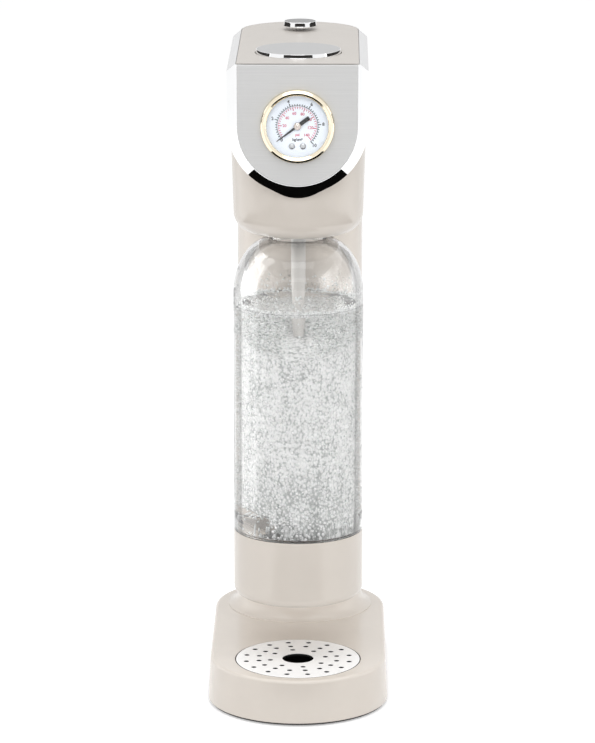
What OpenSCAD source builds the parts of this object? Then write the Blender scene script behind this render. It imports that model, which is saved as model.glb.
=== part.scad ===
// Sparkling water maker: base, column, head with gauge, hanging bottle, gas cylinder and valve lever.
// Millimetres. Z is up, -Y is the front, the origin is under the middle of the base.

/* [Base] */
// Radius of the two round ends of the base
base_r = 60; // [58.5:0.5:64]
// Distance between the centres of the two round ends
base_span = 116; // [110:1:124]
// Height of the base shell
base_h = 28.6; // [26.6:0.2:34]
// Wall of the base shell
base_wall = 2.6; // [2:0.1:3.2]
// How much the base narrows on each side towards its top
base_draft = 1.4; // [0.6:0.1:1.8]
// Rounding of the top edge of the base
base_edge = 2.2; // [1:0.1:2.4]
// Height of the dark edge of the foot plate
skirt_h = 1.4; // [1:0.1:2]
// Height of the rubber feet below the foot plate
foot_h = 1; // [0.8:0.1:2]
// Radius of a rubber foot
foot_r = 8; // [6:0.5:10]

/* [Drip grid] */
// Radius of the drip grid
grid_r = 41.5; // [39.5:0.5:43]
// Thickness of the drip grid
grid_t = 1.6; // [1.2:0.1:2.2]
// Radius of one drip hole
grid_hole = 1.8; // [1.2:0.1:2.1]
// Radius of the finger hole in the middle of the grid
finger_r = 10.4; // [9:0.2:12]
// Distance from the front centre of the base to the centre of the grid
grid_shift = 9.5; // [6:0.5:10]
// Depth of the drip cup under the grid
cup_depth = 14; // [10:1:16]
// Wall of the drip cup
cup_wall = 1.5; // [1:0.1:2]

/* [Column] */
// Radius of the column
column_r = 42.6; // [41.6:0.2:43.4]
// Wall of the column
column_wall = 3; // [2.4:0.1:3.4]
// Radius of the hollow flare at the foot of the column
flare_r = 10.4; // [7:0.2:10.8]
// Distance from the rear centre of the base back to the column axis
column_back = 4; // [2:0.5:6]
// Distance from the column axis forward to the bottle axis
axis_gap = 102; // [100:1:108]
// Height of the column from the base to the head
column_h = 286.1; // [280:0.1:300]
// Distance from the column axis back to the seam of the rear cover
cover_split = 12; // [8:1:16]

/* [Head] */
// Height from the underside of the collar to the top of the lid
head_h = 117.5; // [116:0.5:126]
// Half width of the head at its top
head_r = 45.4; // [45:0.1:46.6]
// Wall of the head shell
head_wall = 3; // [2.4:0.1:3.2]
// Rounding of the edge under the collar
collar_edge = 13; // [9:0.5:15]
// Height of the silver rim
rim_h = 9; // [8:0.5:10]
// Width of the chamfer on the rim
chamfer_w = 5.8; // [5:0.1:6.2]
// Height of the chamfer on the rim
chamfer_h = 5; // [3.5:0.1:5.6]
// Thickness of the lid
lid_t = 3; // [2.4:0.1:3.4]

/* [Front] */
// Distance from the bottle axis to the face of the front panel
panel_reach = 53.6; // [52.4:0.2:57]
// Distance from the edge of the lid in to the edge of the front panel
panel_edge = 0.5; // [0.3:0.1:1.4]
// Thickness of the front panel
panel_t = 2; // [1.6:0.1:2.4]
// Depth of the bevel on the bezel
bevel_d = 5; // [4:0.2:6]
// How far the point of the bezel reaches below its round
bezel_drop = 2.8; // [1.6:0.1:4]
// Wall of the bezel
bezel_wall = 2.4; // [2:0.1:2.8]
// Distance from the top of the lid down to the gauge axis
gauge_drop = 39.4; // [38.8:0.1:42]

/* [Gauge] */
// Outer radius of the gauge bezel
gauge_r = 23.8; // [23.4:0.2:25]
// Radius of the opening in the gauge bezel
dial_r = 19.8; // [18.4:0.1:20]
// Radius of the gauge case
case_r = 21.6; // [21.2:0.1:22]
// Depth of the gauge case behind the face of the panel
case_depth = 22; // [19:0.5:23]
// How far the gauge bezel stands out of the panel
gauge_out = 5; // [4.4:0.2:7]
// Length of the needle from its axis
needle_l = 16.6; // [14:0.2:18]
// Direction of the needle at zero, counted from the right
needle_zero = 216.6; // [205:0.2:230]

/* [Bottle] */
// Radius of the bottle
bottle_r = 43; // [41:0.2:44]
// Height of the bottle with its cup
bottle_h = 270; // [264:0.5:274]
// Wall of the bottle
bottle_wall = 1.4; // [1:0.1:2]
// Height of the domed shoulder
shoulder_h = 38; // [34:0.5:42]
// Radius of the neck
neck_r = 19; // [18:0.1:19.6]
// Wall of the neck
neck_wall = 2.4; // [1.8:0.1:3]
// How far the neck stands in the head
neck_in = 22.5; // [21:0.5:24]
// Height of the bottle cup
bottle_cup_h = 45; // [36:0.5:52]
// Wall of the bottle cup
bottle_cup_wall = 1.8; // [1.4:0.1:2.4]
// Rounding under the bottle cup
bottle_cup_edge = 6; // [4:0.5:9]
// Radius of the nozzle tube
nozzle_r = 4.7; // [4:0.1:5.4]
// Radius of the end of the nozzle
tip_r = 2.65; // [2.2:0.05:3.2]
// How far the nozzle reaches below the head
nozzle_reach = 69.5; // [55:0.5:80]

/* [Controls] */
// Radius of the carbonate button
button_r = 27.9; // [24:0.2:29]
// How far the carbonate button stands above the lid
button_proud = 2.4; // [1.6:0.1:4]
// Travel of the carbonate button
button_travel = 6; // [4:0.5:6.5]
// Radius of the button plunger
plunger_r = 6; // [4.5:0.1:7]
// Radius of the release knob
knob_r = 11.2; // [9:0.2:13]
// Thickness of the release knob
knob_h = 3.9; // [3:0.1:6]
// Travel of the release knob
knob_travel = 2; // [1.2:0.1:2.4]

/* [Gas] */
// Radius of the gas cylinder
cylinder_r = 30; // [28:0.5:31]
// Wall of the gas cylinder
cylinder_wall = 4; // [3:0.2:5]
// Radius of the cylinder valve
valve_r = 10.5; // [9.5:0.1:11]
// Radius of the cylinder coupling
coupling_r = 17; // [15.5:0.5:18]
// Radius of the carbonation block
block_r = 24; // [23:0.5:26]
// Radius of the lever pivot pin
pivot_r = 3; // [2.4:0.1:3.6]
// Distance from the column axis back to the lever pivot
pivot_back = 25; // [24:0.5:27]
// Width of the valve lever
lever_w = 14; // [10:0.5:15]
// Outer radius of the hoses
hose_r = 3.4; // [3:0.1:3.8]

/* [Hidden] */
$fn = 64;

// Clearances
run_gap = 0.05;
slide_gap = 0.5;
seat_gap = 0.3;
fit_gap = 0.2;

// Places of the axes along Y
y_rear = base_span / 2;
y_front = -base_span / 2;
y_column = y_rear + column_back;
y_bottle = y_column - axis_gap;
y_grid = y_front - grid_shift;
y_panel = y_bottle - panel_reach;
y_pivot = y_column + pivot_back;
y_split = y_column + cover_split;

// Heights
z_shell = foot_h + skirt_h;
z_top = z_shell + base_h;
z_head = z_top + column_h;
z_lid = z_head + head_h;
z_wall = z_lid - rim_h;
z_gauge = z_lid - gauge_drop;
z_mouth = z_head + neck_in;
z_bottle = z_mouth - bottle_h;

// Base
top_t = 3;
plate_t = 2.4;
z_plate = z_shell + plate_t;
skirt_in = 1.2;
screw_r = 1.5;
screw_l = 9;
screw_head = 2;
post_r = 3.5;
base_post_x = base_r - 11;

// Drip grid and drip cup
cup_r = grid_r - 2.2;
flange_t = 1.2;
grid_up = 0.2;
z_grid = z_top + grid_up - grid_t;
z_flange = z_grid - flange_t;
z_cup = z_flange - cup_depth;
ring_out = grid_r * 0.84;
ring_mid = grid_r * 0.635;
ring_in = grid_r * 0.45;

// Column
column_in = column_r - column_wall;
spigot_r = column_in + 1;
spigot_d = 12;
flare_end = 73;
seam = 0.4;
grip_r = 16;
grip_d = 1.8;
grip_w = 0.7 * column_r;
tab_x = sqrt(column_in * column_in - cover_split * cover_split) - 1.1;
cover_z0 = z_top + flare_r;

// Head
rim_in = head_r - chamfer_w;
ledge_in = rim_in - 2.8;
lid_r = rim_in - seat_gap;
y_lid = y_panel + panel_t + seat_gap;
y_rim = y_panel + bevel_d;
y_seam = y_panel + 1.56 * bevel_d;
y_nose = y_bottle - 12;
z_floor = z_head + head_wall;
mouth_r = neck_r + 3.5;
panel_r = lid_r - panel_edge;
cylinder_hole = cylinder_r + 2;

// Carbonation block, lock ring and nozzle
neck_seat = 4;
seal_t = 2.5;
block_h = 24;
z_block = z_mouth - neck_seat;
z_block_top = z_block + block_h;
block_flange = 4;
block_post = 31;
recess = neck_seat + seal_t + fit_gap;
ring_r = 26.4;
lug_w = 5;
lug_out = 2.4;
lug_h = 4;
lug_up = 4;
z_lug = z_floor + lug_up;
nozzle_top = z_block + 0.75 * block_h;
z_tip = z_head - nozzle_reach;
tip_l = 16;
taper_l = 14;
bore_r = 1.4;

// Gas cylinder and coupling
pad_t = 4;
pad_rim = 5;
z_cylinder = z_plate + pad_t + seat_gap;
z_coupling = z_block + block_h / 2 - 2;
coupling_flange = 4;
coupling_post = 36;
valve_in = 17.5;
z_valve = z_coupling + valve_in;
z_seal = z_valve + seat_gap;
seal_h = 2.2;
valve_neck = 13;
z_neck = z_coupling - 8;
dome_h = 20;
pin_r = 2;
lever_z = z_head + 0.65 * head_h;
lever_t = 5;
nose_r = 4;
nose_drop = 2;
z_nose = lever_z - nose_r - nose_drop;
coupling_gap = 6;
coupling_h = z_nose - coupling_gap - z_coupling;
rib_w = 3;
rib_d = 3;
rib_in = 12;
lever_ratio = pivot_back / (axis_gap + pivot_back);
pin_travel = button_travel * lever_ratio;
z_pin = z_valve + pin_travel + fit_gap;
ear_t = 3;
ear_r = 6;
ear_x = lever_w / 2 + slide_gap;
eye_r = pivot_r + 4;

// Carbonate button
button_t = 4.5;
z_button = z_lid + button_proud - button_t;
well_r = button_r + slide_gap;
well_wall = 2;
well_floor = 2;
well_depth = 15;
z_well = z_lid - well_depth;
guide_r = plunger_r + 3;
guide_l = 10;
z_plunger = lever_z + lever_t / 2 + seat_gap;
button_coil = plunger_r + 4.5;
button_wire = 0.7;

// Release knob
stem_r = 3;
piston_r = 5.2;
release_r = 9;
release_h = 31;
release_floor = 2;
z_release = z_lid - release_h;
z_knob = z_lid + knob_travel + fit_gap;
z_piston = z_release + 8;
release_coil = 4;
release_wire = 0.4;
release_x = 14;
z_relief = z_release + 6;

// Hoses
barb_r = 2;
barb_l = 10;
hose_in = barb_r + run_gap;
z_gas = z_coupling + coupling_flange + hose_r + 0.8;
y_gauge_hose = y_bottle - 0.75 * block_r;
elbow_r = 4.2;
elbow_l = 8;
gauge_hose_l = z_gauge - elbow_l - z_block_top;
barb_up = 0.36 * gauge_hose_l;
barb_down = 0.4 * gauge_hose_l;
bend_r = 10;
relief_y = y_bottle + bend_r;

// Gauge, as distances in front of the panel face
crest_w = 0.14;
lens_back = 1.6;
lens_t = 1.2;
dial_front = -0.6;
dial_t = 0.8;
needle_back = 0.25;
needle_t = 0.5;
arbor_r = 0.8;
hub_r = 2.2;

// Points of an arc about c, from angle a0 to angle a1
function arc(c, r, a0, a1, n = 8) =
  [for (i = [0:n]) c + r * [cos(a0 + (a1 - a0) * i / n), sin(a0 + (a1 - a0) * i / n)]];

// Points of a domed shoulder, from the wall (radius r) up and in to the neck (radius rn)
function dome(r, rn, r0, z, h, n = 12) =
  let (t1 = acos((rn - r0) / (r - r0)))
  [for (i = [0:n]) [r0 + (r - r0) * cos(t1 * i / n), z + h * sin(t1 * i / n)]];

// A list of points in the other order
function reverse(list) = [for (i = [len(list) - 1:-1:0]) list[i]];

// Turns a half profile about Z at both ends and runs it straight between them
module long_round(y0, y1) {
  translate([0, y0, 0]) rotate([0, 0, 180]) rotate_extrude(angle = 180) children();
  translate([0, y1, 0]) rotate_extrude(angle = 180) children();
  translate([0, y1, 0]) rotate([90, 0, 0]) linear_extrude(y1 - y0) {
    children();
    mirror([1, 0]) children();
  }
}

// Same, but only the rear end is round and the front is cut straight
module long_rear(y0, y1) {
  translate([0, y1, 0]) rotate_extrude(angle = 180) children();
  translate([0, y1, 0]) rotate([90, 0, 0]) linear_extrude(y1 - y0) {
    children();
    mirror([1, 0]) children();
  }
}

// Turns a profile about the gauge axis, with the second coordinate pointing forward from the panel
module gauge_turn() {
  translate([0, y_panel, z_gauge]) rotate([90, 0, 0]) rotate_extrude() children();
}

// Extrudes an outline in the front view from y to y + t
module front_slice(y, t) {
  translate([0, y + t, z_gauge]) rotate([90, 0, 0]) linear_extrude(t) children();
}

// Cylinder along Y
module y_rod(r, x, y0, y1, z) {
  translate([x, y1, z]) rotate([90, 0, 0]) cylinder(r = r, h = y1 - y0);
}

// Cylinder along Z
module z_rod(r, x, y, z0, z1) {
  translate([x, y, z0]) cylinder(r = r, h = z1 - z0);
}

// Plain coil of round wire standing on z = 0
module coil(mean_r, wire_r, turns, h) {
  steps = 10;
  sides = 6;
  n = round(turns * steps);
  rise = h - 2 * wire_r;
  echo(coil_gap = rise / turns - 2 * wire_r);
  points = [for (i = [0:n], k = [0:sides - 1])
    let (a = 360 * i / steps, b = 360 * k / sides + 90, r = mean_r + wire_r * cos(b))
    [r * cos(a), r * sin(a), wire_r + rise * i / n + wire_r * sin(b)]];
  skin = [for (i = [0:n - 1], k = [0:sides - 1])
    let (j = (k + 1) % sides, p = i * sides, q = p + sides)
    [p + k, q + k, q + j, p + j]];
  polyhedron(points, concat(
    [[for (k = [0:sides - 1]) k]],
    [[for (k = [sides - 1:-1:0]) n * sides + k]],
    skin));
}

// Base

module base_profile(inset, z0, z1, edge) {
  r0 = base_r - inset;
  r1 = base_r - base_draft - inset;
  polygon(concat([[0, z0], [r0, z0]],
    arc([r1 - edge, z1 - edge], edge, 0, 90, 6), [[0, z1]]));
}

module base_posts(r, z0, z1) {
  for (x = [-1, 1], y = [y_front, y_rear]) z_rod(r, x * base_post_x, y, z0, z1);
}

module base_shell() {
  color("#d7d0ca") difference() {
    union() {
      difference() {
        long_round(y_front, y_rear) base_profile(0, z_shell, z_top, base_edge);
        long_round(y_front, y_rear)
          base_profile(base_wall, z_shell - 1, z_top - top_t, base_edge * 0.5);
      }
      base_posts(post_r, z_plate + fit_gap, z_top - top_t + 0.5);
      difference() {
        z_rod(cup_r + slide_gap + 2, 0, y_grid, z_flange - 6, z_top - top_t + 0.5);
        z_rod(cup_r + slide_gap + 2 - 1, 0, y_grid, z_flange - 7, z_top - top_t);
      }
    }
    z_rod(grid_r + slide_gap, 0, y_grid, z_flange, z_top + 1);
    z_rod(cup_r + fit_gap, 0, y_grid, z_cup - 1, z_top + 1);
    z_rod(spigot_r + fit_gap, 0, y_column, z_top - top_t - 1, z_top + 1);
    base_posts(screw_r + run_gap, z_plate - 1, z_plate + 11);
  }
}

module base_plate() {
  color("#26211f") difference() {
    union() {
      long_round(y_front, y_rear)
        polygon([[0, foot_h], [base_r - skirt_in, foot_h], [base_r - skirt_in, z_shell], [0, z_shell]]);
      long_round(y_front, y_rear)
        polygon([[0, z_shell], [base_r - base_wall - 0.6, z_shell],
          [base_r - base_wall - 0.6, z_plate], [0, z_plate]]);
    }
    base_posts(screw_r + fit_gap, 0, z_plate + 1);
    base_posts(2 * screw_r + fit_gap, foot_h - 1, foot_h + 1.6);
  }
}

module rubber_feet() {
  color("#1c1b1b") for (x = [-1, 1], y = [-1, 1])
    translate([x * (base_r - 24), y * (y_rear + 14), 0]) rotate_extrude()
      polygon([[0, 0], [foot_r - 0.6, 0], [foot_r, 0.4], [foot_r, foot_h], [0, foot_h]]);
}

module base_screws() {
  color("#8c8d90") {
    base_posts(screw_r, foot_h + 1.6, z_plate + 9);
    base_posts(2 * screw_r, foot_h + 0.2, foot_h + 1.6);
  }
}

module drip_cup() {
  color("#1f1e1e") translate([0, y_grid, 0]) rotate_extrude() polygon([
    [0, z_cup], [cup_r - 3, z_cup], [cup_r, z_cup + 3], [cup_r, z_flange], [grid_r, z_flange],
    [grid_r, z_grid], [cup_r - cup_wall, z_grid], [cup_r - cup_wall, z_cup + 3.6],
    [cup_r - 3.6, z_cup + cup_wall], [0, z_cup + cup_wall]]);
}

module grid_ring(r, count) {
  for (i = [0:count - 1])
    rotate([0, 0, 360 * (i + 0.5) / count + (count == 8 ? -11.25 : 0)])
      translate([r, 0, z_grid - 1]) cylinder(r = grid_hole, h = grid_t + 2);
}

module drip_grid() {
  color("#e6e7e8") translate([0, y_grid, 0]) difference() {
    rotate_extrude() polygon([[0, z_grid], [grid_r, z_grid], [grid_r, z_grid + grid_t - 0.5],
      [grid_r - 0.5, z_grid + grid_t], [0, z_grid + grid_t]]);
    z_rod(finger_r, 0, 0, z_grid - 1, z_grid + grid_t + 1);
    grid_ring(ring_out, 16);
    grid_ring(ring_mid, 16);
    grid_ring(ring_in, 8);
  }
}

// Column

module column_profile() {
  polygon(concat(
    [[spigot_r - 2.6, z_top - spigot_d], [spigot_r, z_top - spigot_d], [spigot_r, z_top]],
    [[column_r + flare_r * (1 - cos(flare_end)), z_top]],
    arc([column_r + flare_r, z_top + flare_r], flare_r, 180 + flare_end, 180, 10),
    [[column_r, z_head], [column_in, z_head], [column_in, z_top], [spigot_r - 2.6, z_top]]));
}

module cover_box(gap) {
  translate([-100, y_split + gap, cover_z0 + gap]) cube([200, 100, z_head - cover_z0 - 2 * gap]);
}

module column_shell() {
  color("#d7d0ca") difference() {
    translate([0, y_column, 0]) rotate_extrude() column_profile();
    translate([-100, y_split, cover_z0]) cube([200, 100, column_h]);
  }
}

module rear_cover() {
  color("#d7d0ca") {
    difference() {
      intersection() {
        difference() {
          z_rod(column_r, 0, y_column, z_top, z_head);
          z_rod(column_in, 0, y_column, z_top - 1, z_head + 1);
        }
        cover_box(seam);
      }
      translate([-grip_w / 2, y_column + column_r + grip_r - grip_d, z_head - 2 * grip_r])
        rotate([0, 90, 0]) cylinder(r = grip_r, h = grip_w);
    }
    for (s = [-1, 1], z = [0.12, 0.5, 0.88])
      translate([s * tab_x - (s > 0 ? 3 : 0), y_split - 6, cover_z0 + z * (z_head - cover_z0) - 6])
        cube([3, 12.5, 12]);
  }
}

module cylinder_pad() {
  color("#2a2928") translate([0, y_column, 0]) rotate_extrude() polygon([
    [0, z_plate], [cylinder_r + 2.6, z_plate], [cylinder_r + 2.6, z_plate + pad_t + pad_rim],
    [cylinder_r + 0.6, z_plate + pad_t + pad_rim], [cylinder_r + 0.6, z_plate + pad_t],
    [0, z_plate + pad_t]]);
}

module gas_cylinder() {
  inner = cylinder_r - cylinder_wall;
  z_dome = z_neck - dome_h;
  color("#b9bcc0") translate([0, y_column, 0]) rotate_extrude() polygon(concat(
    [[0, z_cylinder]], arc([cylinder_r - 8, z_cylinder + 8], 8, -90, 0, 6),
    dome(cylinder_r, valve_neck, valve_neck - 4, z_dome, dome_h, 8),
    [[valve_neck, z_neck], [valve_r - 2, z_neck], [valve_r - 2, z_dome + dome_h - 8]],
    [[inner, z_dome - 4], [inner, z_cylinder + 10], [inner - 6, z_cylinder + 5], [0, z_cylinder + 5]]));
}

module cylinder_valve() {
  color("#b59a5b") translate([0, y_column, 0]) rotate_extrude() polygon([
    [0, z_neck - 10], [valve_r - 2.2, z_neck - 10], [valve_r - 2.2, z_neck], [valve_neck, z_neck],
    [valve_neck, z_neck + 5], [valve_r, z_neck + 6.5], [valve_r, z_valve - 1],
    [valve_r - 1, z_valve], [0, z_valve]]);
}

// Gas coupling and lever

module coupling_posts(r, z0, z1) {
  for (a = [40, 140, 220, 320])
    z_rod(r, coupling_post * cos(a), y_column + coupling_post * sin(a), z0, z1);
}

module cylinder_coupling() {
  color("#a9adb2") difference() {
    union() {
      z_rod(coupling_post + 2.6, 0, y_column, z_coupling, z_coupling + coupling_flange);
      z_rod(coupling_r, 0, y_column, z_coupling, z_coupling + coupling_h - 4);
      z_rod(coupling_r - 5, 0, y_column, z_coupling, z_coupling + coupling_h);
      y_rod(barb_r, 0, y_column - coupling_r - barb_l, y_column - coupling_r + 1, z_gas);
    }
    z_rod(valve_r + run_gap, 0, y_column, z_coupling - 1, z_seal + seal_h);
    z_rod(pin_r + run_gap, 0, y_column, z_coupling, z_coupling + coupling_h + 1);
    coupling_posts(screw_r + fit_gap, z_coupling - 1, z_coupling + coupling_flange + 1);
  }
}

module coupling_seal() {
  color("#3a3a3c") difference() {
    z_rod(valve_r - 0.2, 0, y_column, z_seal, z_seal + seal_h);
    z_rod(pin_r + 1, 0, y_column, z_seal - 1, z_seal + seal_h + 1);
  }
}

module push_pin() {
  color("#c9ccd0") z_rod(pin_r, 0, y_column, z_pin, z_nose - seat_gap);
}

module lever_bracket() {
  z0 = z_coupling + coupling_flange;
  wide = ear_x + ear_t;
  color("#9ea2a7") difference() {
    union() {
      translate([-wide, y_pivot - ear_r, z0]) cube([2 * wide, 2 * ear_r, ear_t]);
      for (s = [-1, 1]) translate([s > 0 ? ear_x : -wide, y_pivot - ear_r, z0])
        cube([ear_t, 2 * ear_r, lever_z - z0]);
      for (s = [-1, 1]) translate([s > 0 ? ear_x : -wide, y_pivot, lever_z])
        rotate([0, 90, 0]) cylinder(r = ear_r, h = ear_t);
    }
    translate([-wide - 1, y_pivot, lever_z]) rotate([0, 90, 0])
      cylinder(r = pivot_r + run_gap, h = 2 * wide + 2);
  }
}

module lever_pivot() {
  wide = ear_x + ear_t;
  color("#c9ccd0") translate([-wide - 0.8, y_pivot, lever_z]) rotate([0, 90, 0])
    cylinder(r = pivot_r, h = 2 * wide + 1.6);
}

module valve_lever() {
  color("#8f949a") difference() {
    union() {
      translate([-lever_w / 2, y_bottle, lever_z - lever_t / 2])
        cube([lever_w, y_pivot - y_bottle, lever_t]);
      z_rod(lever_w / 2, 0, y_bottle, lever_z - lever_t / 2, lever_z + lever_t / 2);
      translate([-rib_w / 2, y_bottle + rib_in, lever_z - lever_t / 2 - rib_d])
        cube([rib_w, axis_gap - 2 * rib_in, lever_t]);
      translate([-lever_w / 2, y_column, lever_z - nose_drop]) rotate([0, 90, 0])
        cylinder(r = nose_r, h = lever_w);
      translate([-lever_w / 2, y_pivot, lever_z]) rotate([0, 90, 0])
        cylinder(r = eye_r, h = lever_w);
    }
    translate([-lever_w / 2 - 1, y_pivot, lever_z]) rotate([0, 90, 0])
      cylinder(r = pivot_r + run_gap, h = lever_w + 2);
  }
}

// Head

module head_profile() {
  polygon(concat([[0, z_head]],
    arc([column_r - collar_edge, z_head + collar_edge], collar_edge, -90, 0, 10),
    [[head_r, z_wall], [0, z_wall]]));
}

module head_core() {
  inner = collar_edge - head_wall;
  polygon(concat([[0, z_floor]],
    arc([column_r - collar_edge, z_head + collar_edge], inner, -90, 0, 8),
    [[head_r - head_wall, z_wall + 1], [0, z_wall + 1]]));
}

module block_posts(r, z0, z1) {
  for (a = [40, 140, 220, 320])
    z_rod(r, block_post * cos(a), y_bottle + block_post * sin(a), z0, z1);
}

module head_shell() {
  color("#d7d0ca") difference() {
    union() {
      difference() {
        union() {
          long_round(y_bottle, y_column) head_profile();
          z_rod(column_r, 0, y_column, z_head, z_head + collar_edge);
        }
        long_round(y_bottle, y_column) head_core();
      }
      block_posts(post_r, z_floor - 0.5, z_block);
      coupling_posts(post_r - 0.4, z_floor - 0.5, z_coupling);
    }
    z_rod(mouth_r, 0, y_bottle, z_head - 1, z_floor + 1);
    z_rod(cylinder_hole, 0, y_column, z_head - 1, z_floor + 1);
    block_posts(screw_r + run_gap, z_block - 11, z_block + 1);
    coupling_posts(screw_r + run_gap, z_coupling - 11, z_coupling + 1);
    y_rod(case_r + 0.6, 0, y_bottle - head_r - 5, y_bottle - 20, z_gauge);
  }
}

module head_rim() {
  color("#cfd0d1") long_rear(y_rim, y_column) polygon([
    [ledge_in, z_wall], [head_r, z_wall], [head_r, z_lid - chamfer_h], [rim_in, z_lid],
    [rim_in, z_lid - lid_t], [ledge_in, z_lid - lid_t]]);
}

module lid_outline(r) {
  translate([0, y_column]) circle(r = r);
  translate([-r, y_lid]) square([2 * r, y_column - y_lid]);
}

module lid() {
  color("#d9d4ce") difference() {
    union() {
      translate([0, 0, z_lid - lid_t]) linear_extrude(lid_t) lid_outline(lid_r);
      z_rod(well_r + well_wall, 0, y_bottle, z_well - well_floor, z_lid - lid_t + 0.5);
      z_rod(guide_r, 0, y_bottle, z_well - well_floor - guide_l, z_well);
    }
    z_rod(well_r, 0, y_bottle, z_well, z_lid + 1);
    z_rod(plunger_r + run_gap, 0, y_bottle, z_well - 20, z_lid);
    z_rod(stem_r + run_gap, 0, y_column, z_lid - lid_t - 1, z_lid + 1);
  }
}

// Front: a shield has a flat top and a round bottom, with its round about the gauge axis
module shield(r, top) {
  circle(r = r);
  translate([-r, 0]) square([2 * r, top]);
}

// Lower half of the outer outline of the bezel: the round draws down to a soft point
module bezel_low(inset) {
  r = head_r - inset;
  small = 0.53 * r;
  shift = r + bezel_drop - small;
  lean = asin((r - small) / shift);
  x1 = (r - run_gap) * cos(lean);
  y1 = (r - run_gap) * sin(lean);
  x2 = (small - run_gap) * cos(lean);
  y2 = (small - run_gap) * sin(lean) + shift;
  intersection() {
    union() {
      circle(r = r);
      translate([0, -shift]) circle(r = small);
      polygon([[x1, -y1], [x2, -y2], [-x2, -y2], [-x1, -y1]]);
    }
    translate([-2 * r, -2 * r]) square([4 * r, 2 * r]);
  }
}

// Upper part of the outline, with the corners that follow the chamfer of the rim
module bezel_high(inset) {
  r = head_r - inset;
  polygon([[-r, 0], [r, 0], [r, gauge_drop - chamfer_h], [rim_in - inset, gauge_drop],
    [inset - rim_in, gauge_drop], [-r, gauge_drop - chamfer_h]]);
}

// Below the gauge axis the bevel is a cone, and above it two straight slopes
module bevel_body() {
  r = panel_r + panel_edge;
  deep = y_seam - y_panel;
  wide = r + deep * (head_r - r) / bevel_d;
  intersection() {
    front_slice(y_panel, deep) bezel_low(0);
    translate([0, y_panel, z_gauge]) rotate([90, 0, 0]) rotate([0, 0, 180]) rotate_extrude(angle = 180)
      polygon([[0, 0], [r, 0], [wide, -deep], [0, -deep]]);
  }
  intersection() {
    front_slice(y_panel, deep) bezel_high(0);
    translate([0, 0, z_gauge]) linear_extrude(gauge_drop + 1)
      polygon([[-r, y_panel], [r, y_panel], [wide, y_seam], [-wide, y_seam]]);
  }
}

module front_bezel() {
  color("#e4e5e6") difference() {
    bevel_body();
    translate([-2 * head_r, y_rim, z_wall]) cube([4 * head_r, head_r, 2 * rim_h]);
    front_slice(y_panel - 1, panel_t + 1) shield(panel_r + fit_gap, gauge_drop + 5);
    front_slice(y_panel - 2, 2 * bevel_d + 4) shield(panel_r - 3, gauge_drop + 5);
    translate([-rim_in - 0.1, y_lid - 0.2, z_lid - lid_t - fit_gap])
      cube([2 * rim_in + 0.2, head_r, 2 * rim_h]);
  }
}

// Block with flat sides that just clears the round front of the head
module head_block() {
  slope = (head_r - column_r) / (z_wall - z_head);
  translate([0, y_bottle, z_head]) intersection_for (a = [-75:10:75])
    rotate([0, 0, a]) translate([0, -column_r - fit_gap, 0]) rotate([atan(slope), 0, 0])
      translate([-2 * head_r, 0, -head_h]) cube([4 * head_r, 3 * head_r, 3 * head_h]);
}

module nose_shell() {
  y0 = y_seam + 2 * run_gap;
  deep = y_nose - y0;
  color("#d7d0ca") difference() {
    union() {
      front_slice(y0, deep) bezel_low(0);
      front_slice(y0, deep) bezel_high(0);
    }
    union() {
      front_slice(y0 - 1, deep + 2) bezel_low(bezel_wall);
      front_slice(y0 - 1, deep + 2) bezel_high(bezel_wall);
    }
    translate([-2 * head_r, y_rim, z_wall]) cube([4 * head_r, head_r, 2 * rim_h]);
    head_block();
  }
}

module front_panel() {
  color("#b3b3b4") difference() {
    front_slice(y_panel, panel_t) shield(panel_r, gauge_drop - 0.1);
    y_rod(case_r + 0.3, 0, y_panel - 1, y_panel + panel_t + 1, z_gauge);
    translate([-2 * panel_r, y_panel, z_lid - 0.1 - panel_edge]) rotate([45, 0, 0])
      cube([4 * panel_r, panel_t, panel_t]);
  }
}

// Gauge

module gauge_bezel() {
  crest_r = (gauge_r + dial_r) / 2;
  color("#d8c79f") gauge_turn() polygon([
    [case_r + 0.1, 0], [gauge_r, 0], [gauge_r, gauge_out - 1.9], [gauge_r - 0.45, gauge_out - 1.15],
    [crest_r + crest_w, gauge_out], [crest_r - crest_w, gauge_out],
    [dial_r + 0.35, gauge_out - 1.05], [dial_r, gauge_out - 1.7], [dial_r, lens_back + lens_t + 0.1],
    [case_r + 0.1, lens_back + lens_t + 0.1]]);
}

module gauge_case() {
  color("#8e8f92") difference() {
    gauge_turn() polygon([
      [0, -case_depth], [case_r, -case_depth], [case_r, lens_back - 0.1], [case_r - 1, lens_back - 0.1],
      [case_r - 1, dial_front - dial_t - 0.05], [case_r - 3, dial_front - dial_t - 0.05],
      [case_r - 3, dial_front - dial_t - 2], [case_r - 1, dial_front - dial_t - 4],
      [case_r - 1, 2 - case_depth], [0, 2 - case_depth]]);
    y_rod(4.2, 0, y_panel + case_depth - 4, y_panel + case_depth + 1, z_gauge);
  }
}

module gauge_dial() {
  color("#eef2f5") difference() {
    gauge_turn() polygon([[arbor_r + 0.1, dial_front - dial_t], [case_r - 1.2, dial_front - dial_t],
      [case_r - 1.2, dial_front], [arbor_r + 0.1, dial_front]]);
    for (s = [-1, 1]) y_rod(0.9, s * 3.6, y_panel - 2, y_panel + 4, z_gauge - 13);
  }
}

module dial_screws() {
  color("#b9bbbd") for (s = [-1, 1]) translate([s * 3.6, y_panel, z_gauge - 13]) rotate([90, 0, 0])
    rotate_extrude() polygon([[0, dial_front - dial_t], [0.8, dial_front - dial_t], [0.8, dial_front],
      [1.6, dial_front], [1.4, dial_front + 0.4], [0, dial_front + 0.4]]);
}

module gauge_lens() {
  color("#e8eef2") gauge_turn() polygon([[0, lens_back], [case_r - 0.4, lens_back],
    [case_r - 0.4, lens_back + lens_t], [0, lens_back + lens_t]]);
}

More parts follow.
